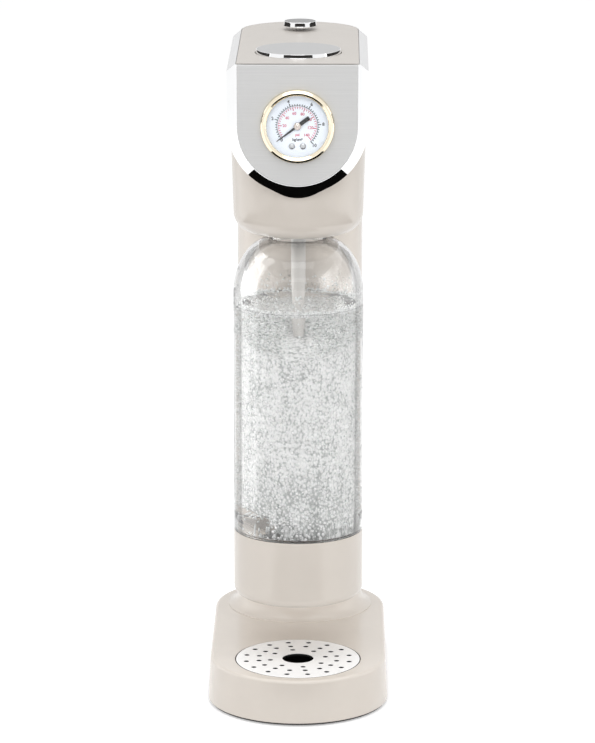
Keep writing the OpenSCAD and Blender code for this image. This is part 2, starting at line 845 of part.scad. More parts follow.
module gauge_needle() {
  color("#151515") {
    translate([0, y_panel - needle_back, z_gauge]) rotate([90, 0, 0])
      linear_extrude(needle_t) rotate(needle_zero) polygon([
        [-9.4, 1.3], [-9.4, -1.3], [-1, -1.2], [2, -0.8], [needle_l, -0.18], [needle_l, 0.18],
        [2, 0.8], [-1, 1.2]]);
    gauge_turn() polygon([[0, -9], [arbor_r, -9], [arbor_r, needle_back - 0.1], [hub_r, needle_back],
      [hub_r, 1], [hub_r - 0.4, 1.2], [0, 1.2]]);
  }
}

module gauge_movement() {
  color("#b59a5b") {
    difference() {
      union() {
        gauge_turn() polygon([[0, 2.05 - case_depth], [8, 2.05 - case_depth], [8, 5 - case_depth],
          [0, 5 - case_depth]]);
        gauge_turn() polygon([[0, 4 - case_depth], [3, 4 - case_depth], [3, -5], [0, -5]]);
        translate([-2, y_panel + case_depth - 10.4, z_gauge - 10.65]) cube([4, 6, 9]);
      }
      gauge_turn() polygon([[0, -9.6], [arbor_r + run_gap, -9.6], [arbor_r + run_gap, 1], [0, 1]]);
    }
  }
}

module pressure_tube() {
  color("#c2a868") translate([0, y_panel + case_depth - 9.6, z_gauge]) rotate([90, 0, 0])
    rotate([0, 0, -90]) rotate_extrude(angle = 250)
      polygon([[11.2, -1.6], [13.2, -1.6], [13.8, 0], [13.2, 1.6], [11.2, 1.6], [10.9, 0]]);
}

module gauge_stem() {
  y0 = y_panel + case_depth;
  color("#c2a868") {
    y_rod(4, 0, y0 - 2, y0 + 1, z_gauge);
    translate([0, y0 + 7, z_gauge]) rotate([90, 0, 0]) cylinder(r = 6.4, h = 7, $fn = 6);
    y_rod(elbow_r, 0, y0 + 6, y_gauge_hose, z_gauge);
    z_rod(elbow_r, 0, y_gauge_hose, z_gauge - elbow_l, z_gauge + elbow_r);
    z_rod(barb_r, 0, y_gauge_hose, z_gauge - elbow_l - barb_down, z_gauge - elbow_l + 1);
  }
}

module gauge_hose() {
  color("#e9e7e2") difference() {
    z_rod(hose_r, 0, y_gauge_hose, z_block_top + seat_gap, z_gauge - elbow_l - seat_gap);
    z_rod(hose_in, 0, y_gauge_hose, z_block_top, z_gauge);
  }
}

// Carbonation block and bottle

module carbonation_block() {
  color("#3b3c40") difference() {
    union() {
      z_rod(block_post + 3.6, 0, y_bottle, z_block, z_block + block_flange);
      z_rod(block_r, 0, y_bottle, z_block, z_block_top);
      y_rod(barb_r, 0, y_bottle + block_r - 1, y_bottle + block_r + barb_l, z_gas);
      z_rod(barb_r, 0, y_gauge_hose, z_block_top - 1, z_block_top + barb_up);
      z_rod(barb_r, release_x, relief_y, z_block_top - 1, z_block_top + barb_l);
    }
    z_rod(neck_r + 0.8, 0, y_bottle, z_block - 1, z_block + recess);
    z_rod(nozzle_r + run_gap, 0, y_bottle, z_block, nozzle_top + 0.1);
    block_posts(screw_r + fit_gap, z_block - 1, z_block + block_flange + 1);
  }
}

module bottle_seal() {
  color("#5a5550") difference() {
    z_rod(neck_r + 0.5, 0, y_bottle, z_mouth + fit_gap, z_block + recess);
    z_rod(nozzle_r + 4, 0, y_bottle, z_mouth, z_block + recess + 1);
  }
}

module nozzle_tube() {
  z0 = z_tip + tip_l;
  color("#d3cfc8") translate([0, y_bottle, 0]) rotate_extrude() polygon([
    [bore_r, z0], [nozzle_r - 0.9, z0], [nozzle_r - 0.2, z0 + taper_l], [nozzle_r, z0 + taper_l + 6],
    [nozzle_r, nozzle_top], [bore_r, nozzle_top]]);
}

module nozzle_tip() {
  z1 = z_tip + tip_l;
  color("#c4beb5") translate([0, y_bottle, 0]) rotate_extrude() polygon([
    [bore_r * 0.6, z_tip], [tip_r - 0.5, z_tip], [tip_r, z_tip + 0.8],
    [nozzle_r - 0.95, z1], [bore_r * 0.6, z1]]);
}

module gas_hose() {
  y0 = y_bottle + block_r + seat_gap;
  y1 = y_column - coupling_r - seat_gap;
  color("#e9e7e2") difference() {
    y_rod(hose_r, 0, y0, y1, z_gas);
    y_rod(hose_in, 0, y0 - 1, y1 + 1, z_gas);
  }
}

module relief_path(r) {
  z_bend = z_relief - bend_r;
  z_rod(r, release_x, relief_y, z_block_top + seat_gap, z_bend);
  translate([release_x, relief_y + bend_r, z_bend]) rotate([90, 0, 90])
    rotate([0, 0, 90]) rotate_extrude(angle = 90) translate([bend_r, 0]) circle(r = r);
  y_rod(r, release_x, relief_y + bend_r, y_column - release_r / 2 - seat_gap, z_relief);
}

module relief_hose() {
  color("#e9e7e2") difference() {
    relief_path(hose_r);
    relief_path(hose_in);
    z_rod(hose_in, release_x, relief_y, z_block_top - 1, z_block_top + 12);
    y_rod(hose_in, release_x, y_column - 20, y_column, z_relief);
  }
}

module safety_valve() {
  color("#c2a868") {
    translate([-15, y_bottle + 4, z_block_top]) cylinder(r = 5.4, h = 6, $fn = 6);
    z_rod(3.6, -15, y_bottle + 4, z_block_top + 5, z_block_top + 15);
  }
}

module lock_ring() {
  color("#6c6e72") difference() {
    z_rod(ring_r, 0, y_bottle, z_floor + seat_gap, z_block - seat_gap);
    z_rod(neck_r + 0.6, 0, y_bottle, z_floor - 1, z_block + 1);
    for (a = [90, 210, 330]) translate([0, y_bottle, z_floor - 1]) rotate([0, 0, a])
      translate([0, -lug_w / 2 - 0.4, 0]) cube([neck_r + lug_out + 0.5, lug_w + 0.8, z_lug + lug_h - z_floor + 1.5]);
  }
}

module bottle() {
  r_low = bottle_r - bottle_cup_wall - 0.3;
  z_low = z_bottle + 2.4;
  z_step = z_bottle + bottle_cup_h + seat_gap;
  r0 = neck_r - 4;
  neck_in_r = neck_r - neck_wall;
  z_sh = z_mouth - neck_in - 4 - shoulder_h;
  w = bottle_wall;
  color("#dfe7ea") {
    translate([0, y_bottle, 0]) rotate_extrude() polygon(concat(
      [[0, z_low]], arc([r_low - 9, z_low + 9], 9, -90, 0, 6), [[r_low, z_step], [bottle_r, z_step]],
      dome(bottle_r, neck_r, r0, z_sh, shoulder_h),
      [[neck_r, z_mouth - 0.6], [neck_r - 0.6, z_mouth], [neck_in_r, z_mouth]],
      reverse(dome(bottle_r - w, neck_in_r, r0 - neck_wall, z_sh, shoulder_h - w)),
      [[bottle_r - w, z_step + w], [r_low - w, z_step + w - 1]],
      arc([r_low - 9, z_low + 9], 9 - w, 0, -90, 6), [[0, z_low + w]]));
    for (a = [90, 210, 330]) translate([0, y_bottle, z_lug]) rotate([0, 0, a])
      translate([neck_r - 0.8, -lug_w / 2, 0]) cube([lug_out + 0.4, lug_w, lug_h]);
  }
}

module bottle_cup() {
  inner = bottle_r - bottle_cup_wall;
  z1 = z_bottle + bottle_cup_h;
  e = bottle_cup_edge;
  color("#d7d0ca") translate([0, y_bottle, 0]) rotate_extrude() polygon(concat(
    [[0, z_bottle + 0.8], [bottle_r - e - 4, z_bottle + 0.8], [bottle_r - e - 3, z_bottle]],
    arc([bottle_r - e, z_bottle + e], e, -90, 0, 8),
    [[bottle_r, z1 - 0.4], [bottle_r - 0.4, z1], [inner, z1]],
    arc([inner - 9.3, z_bottle + 2.2 + 9.3], 9.3, 0, -90, 6), [[0, z_bottle + 2.2]]));
}

// Controls

module carbonate_button() {
  color("#c9cacc") translate([0, y_bottle, 0]) rotate_extrude() polygon([
    [0, z_button], [button_r - 0.6, z_button], [button_r, z_button + 0.6],
    [button_r, z_button + button_t - 0.5], [button_r - 0.5, z_button + button_t], [0, z_button + button_t]]);
}

module button_plunger() {
  color("#3b3c40") translate([0, y_bottle, 0]) rotate_extrude() polygon([
    [0, z_plunger], [plunger_r - 1, z_plunger], [plunger_r, z_plunger + 1], [plunger_r, z_button],
    [0, z_button]]);
}

module button_spring() {
  color("#a5a8ab") translate([0, y_bottle, z_well]) coil(button_coil, button_wire, 3, z_button - z_well - run_gap);
}

module release_knob() {
  color("#d2d3d5") translate([0, y_column, 0]) rotate_extrude() polygon([
    [0, z_knob], [knob_r - 0.5, z_knob], [knob_r, z_knob + 0.5], [knob_r, z_knob + knob_h - 0.4],
    [knob_r - 0.4, z_knob + knob_h], [0, z_knob + knob_h]]);
}

module release_stem() {
  color("#9ea2a7") {
    z_rod(stem_r, 0, y_column, z_piston, z_knob);
    z_rod(piston_r, 0, y_column, z_piston, z_piston + 3);
  }
}

module release_spring() {
  color("#a5a8ab") translate([0, y_column, z_release + release_floor])
    coil(release_coil, release_wire, 3, z_piston - z_release - release_floor - run_gap);
}

module release_valve() {
  color("#c2a868") difference() {
    union() {
      z_rod(release_r, 0, y_column, z_release, z_lid - lid_t);
      translate([0, y_column, z_relief]) rotate([0, 90, 0])
        cylinder(r = release_r / 2, h = release_x + 2 * barb_r);
      y_rod(barb_r, release_x, y_column - release_r / 2 - barb_l, y_column, z_relief);
    }
    z_rod(piston_r + 0.1, 0, y_column, z_release + release_floor, z_lid);
  }
}

module head_screws() {
  color("#8c8d90") {
    block_posts(screw_r, z_block - screw_l, z_block + block_flange);
    block_posts(2 * screw_r, z_block + block_flange, z_block + block_flange + screw_head);
    coupling_posts(screw_r, z_coupling - screw_l, z_coupling + coupling_flange);
    coupling_posts(2 * screw_r, z_coupling + coupling_flange, z_coupling + coupling_flange + screw_head);
  }
}

// Draws the chosen node, or all of them
base_shell();
base_plate();
rubber_feet();
base_screws();
drip_cup();
drip_grid();
column_shell();
rear_cover();
cylinder_pad();
gas_cylinder();
cylinder_valve();
cylinder_coupling();
coupling_seal();
push_pin();
lever_bracket();
lever_pivot();
valve_lever();
head_shell();
head_rim();
lid();
nose_shell();
front_bezel();
front_panel();
gauge_bezel();
gauge_case();
gauge_dial();
gauge_lens();
gauge_needle();
gauge_movement();
pressure_tube();
gauge_stem();
gauge_hose();
dial_screws();
carbonation_block();
bottle_seal();
nozzle_tube();
nozzle_tip();
gas_hose();
relief_hose();
safety_valve();
lock_ring();
bottle();
bottle_cup();
carbonate_button();
button_plunger();
button_spring();
release_knob();
release_stem();
release_spring();
release_valve();
head_screws();
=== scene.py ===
# %% [markdown]
# A sparkling water maker
# This lesson dresses a CAD model of a sparkling water maker until it looks like a studio picture. The
# solids have the right shape and size, so most cells are about finishes, light, and what solids can't
# show: the print on the gauge, the water and its bubbles. Everything is in metres, and -Y is the front.

# %% Load the solids
import bpy
import bmesh
import math
import numpy as np
from mathutils import Matrix, Vector, noise


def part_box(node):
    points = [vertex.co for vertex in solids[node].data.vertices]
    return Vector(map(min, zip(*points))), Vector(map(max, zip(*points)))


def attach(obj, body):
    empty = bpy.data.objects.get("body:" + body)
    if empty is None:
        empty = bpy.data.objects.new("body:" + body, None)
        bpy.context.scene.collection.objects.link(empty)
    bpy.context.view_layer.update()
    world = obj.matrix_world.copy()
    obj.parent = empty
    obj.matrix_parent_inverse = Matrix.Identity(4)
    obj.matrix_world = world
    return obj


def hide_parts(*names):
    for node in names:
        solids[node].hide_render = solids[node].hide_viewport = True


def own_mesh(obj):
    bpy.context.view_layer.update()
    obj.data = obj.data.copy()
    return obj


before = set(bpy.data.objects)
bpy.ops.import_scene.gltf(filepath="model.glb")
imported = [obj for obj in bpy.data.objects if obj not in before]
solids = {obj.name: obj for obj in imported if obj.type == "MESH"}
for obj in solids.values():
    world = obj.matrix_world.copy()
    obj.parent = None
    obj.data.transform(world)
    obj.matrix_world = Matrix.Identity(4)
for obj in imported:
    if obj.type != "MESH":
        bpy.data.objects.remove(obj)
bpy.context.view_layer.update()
scene = bpy.context.scene
MM = 0.001

# %% [markdown]
# The camera
# A catalogue picture of a tall machine is taken from afar with a long lens, which keeps its sides almost
# parallel. A short lens close by would make the lid large and the base small. This camera stands about
# two and a half metres away and looks down by some 13 degrees. Its numbers were fitted to a picture of
# the real machine.

# %% Camera
def new_object(name, data):
    """An object in the scene."""
    made = bpy.data.objects.new(name, data)
    scene.collection.objects.link(made)
    return made


lens = bpy.data.cameras.new("studio_camera")
lens.lens = 181.84
lens.sensor_width = 36
lens.clip_start = 0.05
lens.clip_end = 50
camera = new_object("studio_camera", lens)
camera.location = (0.0273, -2.4593, 0.8000)
camera.rotation_euler = (math.radians(76.55), 0, math.radians(0.66))
scene.camera = camera
scene.view_settings.view_transform = "Standard"
print("camera at", tuple(camera.location))

# %% [markdown]
# The white room
# The picture has a pure white ground. A bright world would give that, but it would also pour light on the
# product and flatten it. The Light Path node keeps the two apart: rays from the camera, off metal or
# through glass see full white, while the light that falls on the product stays at a plain level.

# %% World
def maths(tree, operation, *values):
    """A Math node. Each value is a number or the output of another node."""
    node = tree.nodes.new("ShaderNodeMath")
    node.operation = operation
    for value, socket in zip(values, node.inputs):
        if isinstance(value, bpy.types.NodeSocket):
            tree.links.new(value, socket)
        else:
            socket.default_value = value
    return node.outputs[0]


def map_range(tree, value, start, end, low=0.0, high=1.0, kind="LINEAR"):
    """Turns values from start to end into values from low to high."""
    node = tree.nodes.new("ShaderNodeMapRange")
    node.interpolation_type = kind
    for name, number in (("From Min", start), ("From Max", end), ("To Min", low), ("To Max", high)):
        node.inputs[name].default_value = number
    tree.links.new(value, node.inputs["Value"])
    return node.outputs["Result"]


def seen_directly(tree):
    """1 for camera rays and for rays off metal or through glass, and 0 for the rest."""
    path = tree.nodes.new("ShaderNodeLightPath").outputs
    first = maths(tree, "MAXIMUM", path["Is Camera Ray"], path["Is Glossy Ray"])
    return maths(tree, "MAXIMUM", first, path["Is Transmission Ray"])


ROOM_LIGHT = 0.70
world = bpy.data.worlds.new("white_room")
scene.world = world
world.use_nodes = True
room = world.node_tree
backdrop = room.nodes["Background"].inputs
backdrop["Color"].default_value = (1, 1, 1, 1)
room.links.new(map_range(room, seen_directly(room), 0, 1, ROOM_LIGHT, 1), backdrop["Strength"])
print("room light", ROOM_LIGHT)

# %% [markdown]
# The floor
# The machine stands on white paper that runs out of sight. Paper lit by the lamps alone would look grey
# beside the white room, so part of its brightness is its own. The rest is light that falls on it, so it
# still shows the soft shadow under the base.

# %% Floor
def mesh_object(name, points, faces, made, smooth=False):
    """An object made of points, faces and one material."""
    mesh = bpy.data.meshes.new(name)
    mesh.from_pydata(points, [], faces)
    mesh.polygons.foreach_set("use_smooth", [smooth] * len(mesh.polygons))
    mesh.materials.append(made)
    return new_object(name, mesh)


def flat_sheet(name, corners, made):
    """A sheet of the studio, with four corners."""
    sheet = mesh_object(name, corners, [(0, 1, 2, 3)], made)
    return sheet


FLOOR_OWN_LIGHT = 0.40
PAPER_GREY = 0.84
paper = bpy.data.materials.new("white_paper")
paper.use_nodes = True
tree = paper.node_tree
tree.nodes.clear()
matt = tree.nodes.new("ShaderNodeBsdfDiffuse")
matt.inputs["Color"].default_value = (PAPER_GREY, PAPER_GREY, PAPER_GREY, 1)
own = tree.nodes.new("ShaderNodeEmission")
tree.links.new(maths(tree, "MULTIPLY", seen_directly(tree), FLOOR_OWN_LIGHT), own.inputs["Strength"])
both = tree.nodes.new("ShaderNodeAddShader")
out = tree.nodes.new("ShaderNodeOutputMaterial")
tree.links.new(matt.outputs[0], both.inputs[0])
tree.links.new(own.outputs[0], both.inputs[1])
tree.links.new(both.outputs[0], out.inputs["Surface"])
flat_sheet("floor", [(-9, -9, 0), (9, -9, 0), (9, 9, 0), (-9, 9, 0)], paper)
print("floor glow", FLOOR_OWN_LIGHT)

# %% [markdown]
# Soft boxes
# A studio lights a shiny product with lamps behind large cloths. A lamp that is large for its distance
# gives soft shadows and long, even highlights, where a spot lamp would leave hard dots. One stands on
# each side, one hangs above, and two stand in front, high and low.

# %% Soft boxes
def soft_box(name, place, target, wide, tall, brightness):
    """A rectangular lamp that faces the target. Brightness 1 looks white."""
    lamp = bpy.data.lights.new(name, "AREA")
    lamp.shape = "RECTANGLE"
    lamp.size = wide
    lamp.size_y = tall
    lamp.energy = brightness * math.pi * wide * tall
    holder = new_object(name, lamp)
    holder.location = place
    holder.rotation_euler = (Vector(target) - Vector(place)).to_track_quat("-Z", "Y").to_euler()
    return holder


middle = (0, -0.02, 0.22)
soft_box("left_box", (-1.21, 0.30, 0.42), middle, 1.15, 1.2, 0.62)
soft_box("right_box", (1.30, 0.10, 0.45), middle, 0.9, 1.2, 0.64)
soft_box("top_box", (0, -0.45, 1.75), (0, 0, 0.2), 1.4, 1.0, 1.5)
front_box = soft_box("front_box", (0, -2.3, 1.75), (0, 0, 0.2), 1.6, 0.9, 2.9)
low_box = soft_box("low_box", (0, -2.4, 0.45), (0, 0, 0.25), 1.8, 0.6, 1.0)

# %% [markdown]
# Lamps for the bottle
# Clear plastic shows little but the lamps that it mirrors: here a bright streak down the left side and a
# soft glow on the right. Lamps that strong would burn out the beige housing, so light linking gives three
# lamps to the bottle and its water alone, and keeps the two front lamps off the bottle, where they would
# make glare. The three fade towards their edges, as cloth over a box does.

# %% Lamps for the bottle
def group(name, *names):
    """A collection of solids to link a lamp to."""
    made = bpy.data.collections.new(name)
    for node in names:
        made.objects.link(solids[node])
    return made


def feather(box, core):
    """Fades a lamp from its core, measured from its middle, to its edge at 0.5."""
    box.data.use_nodes = True
    tree = box.data.node_tree
    split = tree.nodes.new("ShaderNodeSeparateXYZ")
    where = tree.nodes.new("ShaderNodeNewGeometry")
    tree.links.new(where.outputs["Parametric"], split.inputs["Vector"])
    fades = []
    for side in "XY":
        off = maths(tree, "ABSOLUTE", maths(tree, "SUBTRACT", split.outputs[side], 0.5))
        fades.append(map_range(tree, off, 0.5, core, kind="SMOOTHSTEP"))
    tree.links.new(maths(tree, "MULTIPLY", *fades), tree.nodes["Emission"].inputs["Strength"])


streak_box = soft_box("streak_box", (-0.42, 0.027, 0.58), (0, 0.027, 0.58), 0.40, 0.80, 3.2)
faint_box = soft_box("faint_box", (-0.42, 0.027, 0.10), (0, 0.027, 0.10), 0.40, 0.32, 0.85)
glow_box = soft_box("glow_box", (0.80, -0.56, 0.72), (0, -0.04, 0.25), 0.85, 0.95, 2.6)
wet_things = group("wet_things", "bottle")
for box, core in ((streak_box, 0.38), (faint_box, 0.36), (glow_box, 0.05)):
    feather(box, core)
    box.visible_diffuse = False
    box.visible_camera = False
    box.light_linking.receiver_collection = wet_things
glare_free = group("glare_free", "bottle")
for box in (front_box, low_box):
    box.light_linking.receiver_collection = glare_free
glare_free.collection_objects[0].light_linking.link_state = "EXCLUDE"
print("bottle lamps:", [box.name for box in (streak_box, faint_box, glow_box)])

# %% [markdown]
# Lamps for the shaded places
# The head and the bottle shade the column, the base and the drip grid. More light in the whole room would
# lift them, but it would flatten the rest. So one lamp lights only the column behind the bottle, and a
# pair lights only the base and the grid.

# %% Lamps for the shaded places
fill_box = soft_box("fill_box", (0, -1.7, 0.36), (0, 0, 0.24), 0.6, 0.9, 6.7)
fill_box.visible_glossy = False
fill_box.light_linking.receiver_collection = group("behind_bottle", "column_shell")
low_things = group("low_things", "base_shell", "drip_grid")
for side in (-1, 1):
    base_box = soft_box("base_box", (side * 0.85, -0.12, 1.1), (0, -0.04, 0.03), 0.8, 0.5, 1.7)
    base_box.light_linking.receiver_collection = low_things

# %% [markdown]
# How a finish is built
# Every finish starts from the Principled shader, which covers plastic, metal and glass alike. Even values
# are set on its sockets. What varies, such as mottling and brushing, comes from noise in object space, so
# it moves with the piece. A picture could do the same, but noise has no seams.

# %% Even values and noise
def sockets(made):
    """The inputs of a material's Principled shader."""
    return made.node_tree.nodes["Principled BSDF"].inputs


def finish(name, colour, rough, metal=0.0, **more):
    """A Principled material with its even values set."""
    made = bpy.data.materials.new(name)
    made.use_nodes = True
    sockets(made)["Base Color"].default_value = (*colour, 1)
    sockets(made)["Roughness"].default_value = rough
    sockets(made)["Metallic"].default_value = metal
    for socket, value in more.items():
        sockets(made)[socket.replace("_", " ")].default_value = value
    return made


def place_on_piece(made, stretch):
    """Object coordinates, stretched by one number or by three."""
    nodes, links = made.node_tree.nodes, made.node_tree.links
    where = nodes.new("ShaderNodeTexCoord")
    scale = nodes.new("ShaderNodeMapping")
    scale.inputs["Scale"].default_value = stretch if isinstance(stretch, (tuple, list)) else [stretch] * 3
    links.new(where.outputs["Object"], scale.inputs["Vector"])
    return scale.outputs["Vector"]


def noise_on(made, stretch, detail=3.0, rough=0.55):
    """Noise with features of about one unit of the stretched coordinates."""
    grain = made.node_tree.nodes.new("ShaderNodeTexNoise")
    grain.inputs["Scale"].default_value = 1.0
    grain.inputs["Detail"].default_value = detail
    grain.inputs["Roughness"].default_value = rough
    made.node_tree.links.new(place_on_piece(made, stretch), grain.inputs["Vector"])
    return grain.outputs["Fac"]


print("finish and noise are ready")

# %% [markdown]
# What noise can change
# A real surface is never quite even: its colour drifts, its gloss is patchy and it has a grain. Each of
# these is one helper that feeds noise into one socket, so a finish is a short list of them.

# %% Drift of colour, gloss and height
def mottle(made, pattern, dark, light, low=0.35, high=0.65):
    """Colour that drifts between two tones."""
    ramp = made.node_tree.nodes.new("ShaderNodeValToRGB")
    for stop, place, tone in zip(ramp.color_ramp.elements, (low, high), (dark, light)):
        stop.position = place
        stop.color = (*tone, 1)
    made.node_tree.links.new(pattern, ramp.inputs["Fac"])
    made.node_tree.links.new(ramp.outputs["Color"], sockets(made)["Base Color"])
    return ramp


def uneven_gloss(made, pattern, low, high):
    """Roughness that drifts between two values."""
    tree = made.node_tree
    tree.links.new(map_range(tree, pattern, 0, 1, low, high), sockets(made)["Roughness"])


def raise_grain(made, pattern, strength, depth):
    """Bump from a pattern, with its depth in metres."""
    bump = made.node_tree.nodes.new("ShaderNodeBump")
    bump.inputs["Strength"].default_value = strength
    bump.inputs["Distance"].default_value = depth
    made.node_tree.links.new(pattern, bump.inputs["Height"])
    made.node_tree.links.new(bump.outputs["Normal"], sockets(made)["Normal"])


def toned(colour, factor):
    """A colour made a little darker or lighter."""
    return tuple(min(1.0, c * factor) for c in colour)


print("drift is ready")

# %% [markdown]
# Dark cards
# Polished metal looks like what stands round it. In an all white room chrome turns into white paper, so
# photographers put dark cards where the metal should read dark. Dark bands painted on the metal would be
# simpler, but would stay put when the piece moves. These cards are seen only in reflections and cast no
# shadow.

# %% Dark cards
def dark_card(name, corners, paint):
    """A dark card that shows in reflections alone."""
    card = flat_sheet(name, corners, paint)
    for rays in ("camera", "diffuse", "shadow", "transmission", "volume_scatter"):
        setattr(card, "visible_" + rays, False)


def level_card(name, height, near, far, paint):
    """A card that lies level. near and far give half its width and its y at each end."""
    corners = [(-near[0], near[1]), (near[0], near[1]), (far[0], far[1]), (-far[0], far[1])]
    dark_card(name, [(x, y, height) for x, y in corners], paint)


def upright_card(name, start, end, low, high, paint):
    """A card that stands upright between two places and two heights."""
    dark_card(name, [(*start, low), (*end, low), (*end, high), (*start, high)], paint)


black_card = finish("black_card", (0.003, 0.00282, 0.0027), 0.9, Specular_IOR_Level=0.0)
grey_card = finish("grey_card", (0.04, 0.0376, 0.036), 0.9, Specular_IOR_Level=0.0)
dial_low, dial_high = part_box("gauge_dial")
dial_z = (dial_low.z + dial_high.z) / 2
CHIN_HEIGHT = 0.3266
DIAL_LEDGE = 15.3 * MM
level_card("front_floor_card", 0.002, (0.17, -0.19), (0.34, -0.52), black_card)
upright_card("front_card", (-0.82, -1.05), (0.82, -1.05), 0.48, 0.74, grey_card)
level_card("chin_card", CHIN_HEIGHT, (0.060, -0.135), (0.060, -0.062), black_card)
level_card("dial_card", dial_z - DIAL_LEDGE, (0.009, dial_low.y - 1.8 * MM),
           (0.009, dial_low.y - 0.05 * MM), black_card)
for side in (-1, 1):
    upright_card("side_card", (side * 0.52, -0.118), (side * 0.25, 0.433), 0.37, 0.52, grey_card)

# %% [markdown]
# Plastics and rubber
# The housing is a warm beige, moulded with a satin gloss: very faint mottling, and a grain so fine that
# it only softens the highlights. One flat colour would look like a drawing. The lid is duller, and its
# beige is darker than the housing's: painted shade, so that the top doesn't read brighter under the top
# lamp. The other plastics, the hose and the rubber are the same recipe with other values.

# %% Plastics and rubber
def moulded(name, colour, rough, grain, depth, spread=0.03, **more):
    """Moulded plastic: faint mottling, uneven gloss and a fine grain."""
    made = finish(name, colour, rough, **more)
    clouds = noise_on(made, 45, 4)
    mottle(made, clouds, toned(colour, 1 - spread), toned(colour, 1 + spread))
    uneven_gloss(made, noise_on(made, 160, 2), rough - 0.04, rough + 0.04)
    raise_grain(made, noise_on(made, grain, 2), 0.12, depth)
    return made


looks = {
    "beige_plastic": moulded(
        "beige_satin_plastic", (0.66, 0.606, 0.548), rough=0.24, grain=1600, depth=0.00008, spread=0.012,
        Coat_Weight=0.25, Coat_Roughness=0.18),
    "dark_plastic": moulded(
        "dark_moulded_plastic", (0.016, 0.014, 0.013), rough=0.42, grain=1400, depth=0.0001, spread=0.2),
    "rubber": moulded(
        "black_rubber", (0.012, 0.012, 0.012), rough=0.72, grain=900, depth=0.0002, spread=0.25),
    "grey_plastic": moulded(
        "grey_moulded_plastic", (0.16, 0.165, 0.17), rough=0.42, grain=1400, depth=0.0001, spread=0.08),
    "nozzle_plastic": moulded(
        "pale_nozzle_plastic", (0.64, 0.62, 0.59), rough=0.34, grain=1500, depth=0.00006, spread=0.03),
    "hose_white": moulded(
        "soft_white_hose", (0.74, 0.73, 0.70), rough=0.5, grain=700, depth=0.0001, spread=0.04,
        Subsurface_Weight=0.1),
}
# The lid's darker beige is painted shade on the top of the head.
lid_look_painted_shade = moulded(
    "beige_lid_plastic_painted_shade", (0.575, 0.543, 0.508), rough=0.42, grain=1600, depth=0.00008, spread=0.012,
    Specular_IOR_Level=0.2)
print("plastics:", len(looks))

# %% [markdown]
# Metals
# Chrome is almost a mirror, with a breath of unevenness. Brushed metal is noise drawn out a hundred times
# longer in one direction, used for gloss and bump, so its reflections smear across the brushing.
# Scratches could be modelled, but there would be millions.

# %% Metals
X, Y, Z = 0, 1, 2


def polished(name, colour, rough):
    """Mirror metal with faint unevenness."""
    made = finish(name, colour, rough, 1.0)
    uneven_gloss(made, noise_on(made, 220, 3), rough * 0.7, rough * 1.4)
    mottle(made, noise_on(made, 60, 2), toned(colour, 0.985), colour)
    return made


def brushed(name, colour, rough, along, spread=0.05, depth=0.00002, metal=1.0):
    """Brushed metal: long thin streaks along one axis."""
    made = finish(name, colour, rough, metal)
    stretch = [2600, 2600, 2600]
    stretch[along] = 26
    streaks = noise_on(made, stretch, 3, 0.6)
    mottle(made, streaks, toned(colour, 1 - spread), toned(colour, 1 + spread))
    uneven_gloss(made, streaks, rough - 0.06, rough + 0.06)
    raise_grain(made, streaks, 0.25, depth)
    return made


looks["polished_metal"] = polished("chrome", (0.94, 0.945, 0.95), 0.035)
looks["brushed_metal"] = brushed("brushed_panel_metal", (0.575, 0.575, 0.573), 0.42, X, 0.03, metal=0.12)
looks["silver_trim"] = brushed("silver_trim", (0.72, 0.722, 0.727), 0.38, Y, metal=0.4)
looks["machined_metal"] = brushed("machined_aluminium", (0.55, 0.56, 0.58), 0.34, X)
looks["screw_steel"] = brushed("screw_steel", (0.46, 0.47, 0.48), 0.30, Z)
looks["brass"] = brushed("turned_brass", (0.66, 0.50, 0.24), 0.28, X)
looks["pale_gold"] = polished("pale_gold", (0.93, 0.84, 0.66), 0.12)
print("finishes so far:", len(looks))

# %% [markdown]
# The drip grid
# The grid is a bright plated disc, punched with small holes that look dark inside, where shade falls.
# That shade is painted: the colour turns dark a little below the top of the disc, which does it for every
# hole at once. A second material on the walls would need the faces picked by hand.

# %% Grid metal
def height_on(made):
    """Height on the piece, in metres."""
    split = made.node_tree.nodes.new("ShaderNodeSeparateXYZ")
    made.node_tree.links.new(place_on_piece(made, 1), split.inputs["Vector"])
    return split.outputs["Z"]


def dark_below(made, top, depth, dark):
    """Painted shade: the colour turns dark a little below a height."""
    tree = made.node_tree
    skin = sockets(made)["Base Color"].links[0].from_socket
    blend = tree.nodes.new("ShaderNodeMix")
    blend.data_type = "RGBA"
    blend.inputs["A"].default_value = (*dark, 1)
    tree.links.new(map_range(tree, height_on(made), top - depth, top - depth * 0.4), blend.inputs["Factor"])
    tree.links.new(skin, blend.inputs["B"])
    tree.links.new(blend.outputs["Result"], sockets(made)["Base Color"])


grid_look = brushed("plated_grid_steel_painted_hole_shade", (0.97, 0.972, 0.975), 0.24, X, 0.01, metal=0.1)
grid_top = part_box("drip_grid")[1].z
# Painted shade: the walls of every hole turn dark, as if in shadow inside the holes.
dark_below(grid_look, grid_top, 0.35 * MM, (0.02, 0.02, 0.02))
print("grid dark below", round(grid_top / MM, 2), "mm")

# %% [markdown]
# Dial, needle, lens and bottle
# The dial is a bluish white enamel and the needle is painted black. The lens and the bottle are clear
# plastic: transmission, with a very low roughness and faint noise in it, which keeps it from looking like
# air. Seen edge on, the bottle's wall turns grey, partly for the longer path through it and partly as
# painted shade for the darker things seen through the edge, with a painted dark line inside that band.
# Tracing colour through the wall is slow, so Layer Weight sets it.

# %% Dial, needle, lens and bottle
def clear(name, colour, index, rough):
    """Clear plastic, glass or water."""
    made = finish(name, colour, rough, 0.0, Transmission_Weight=1.0, IOR=index)
    uneven_gloss(made, noise_on(made, 90, 2), rough * 0.5, rough * 1.5)
    mottle(made, noise_on(made, 35, 2), toned(colour, 0.992), colour)
    return made


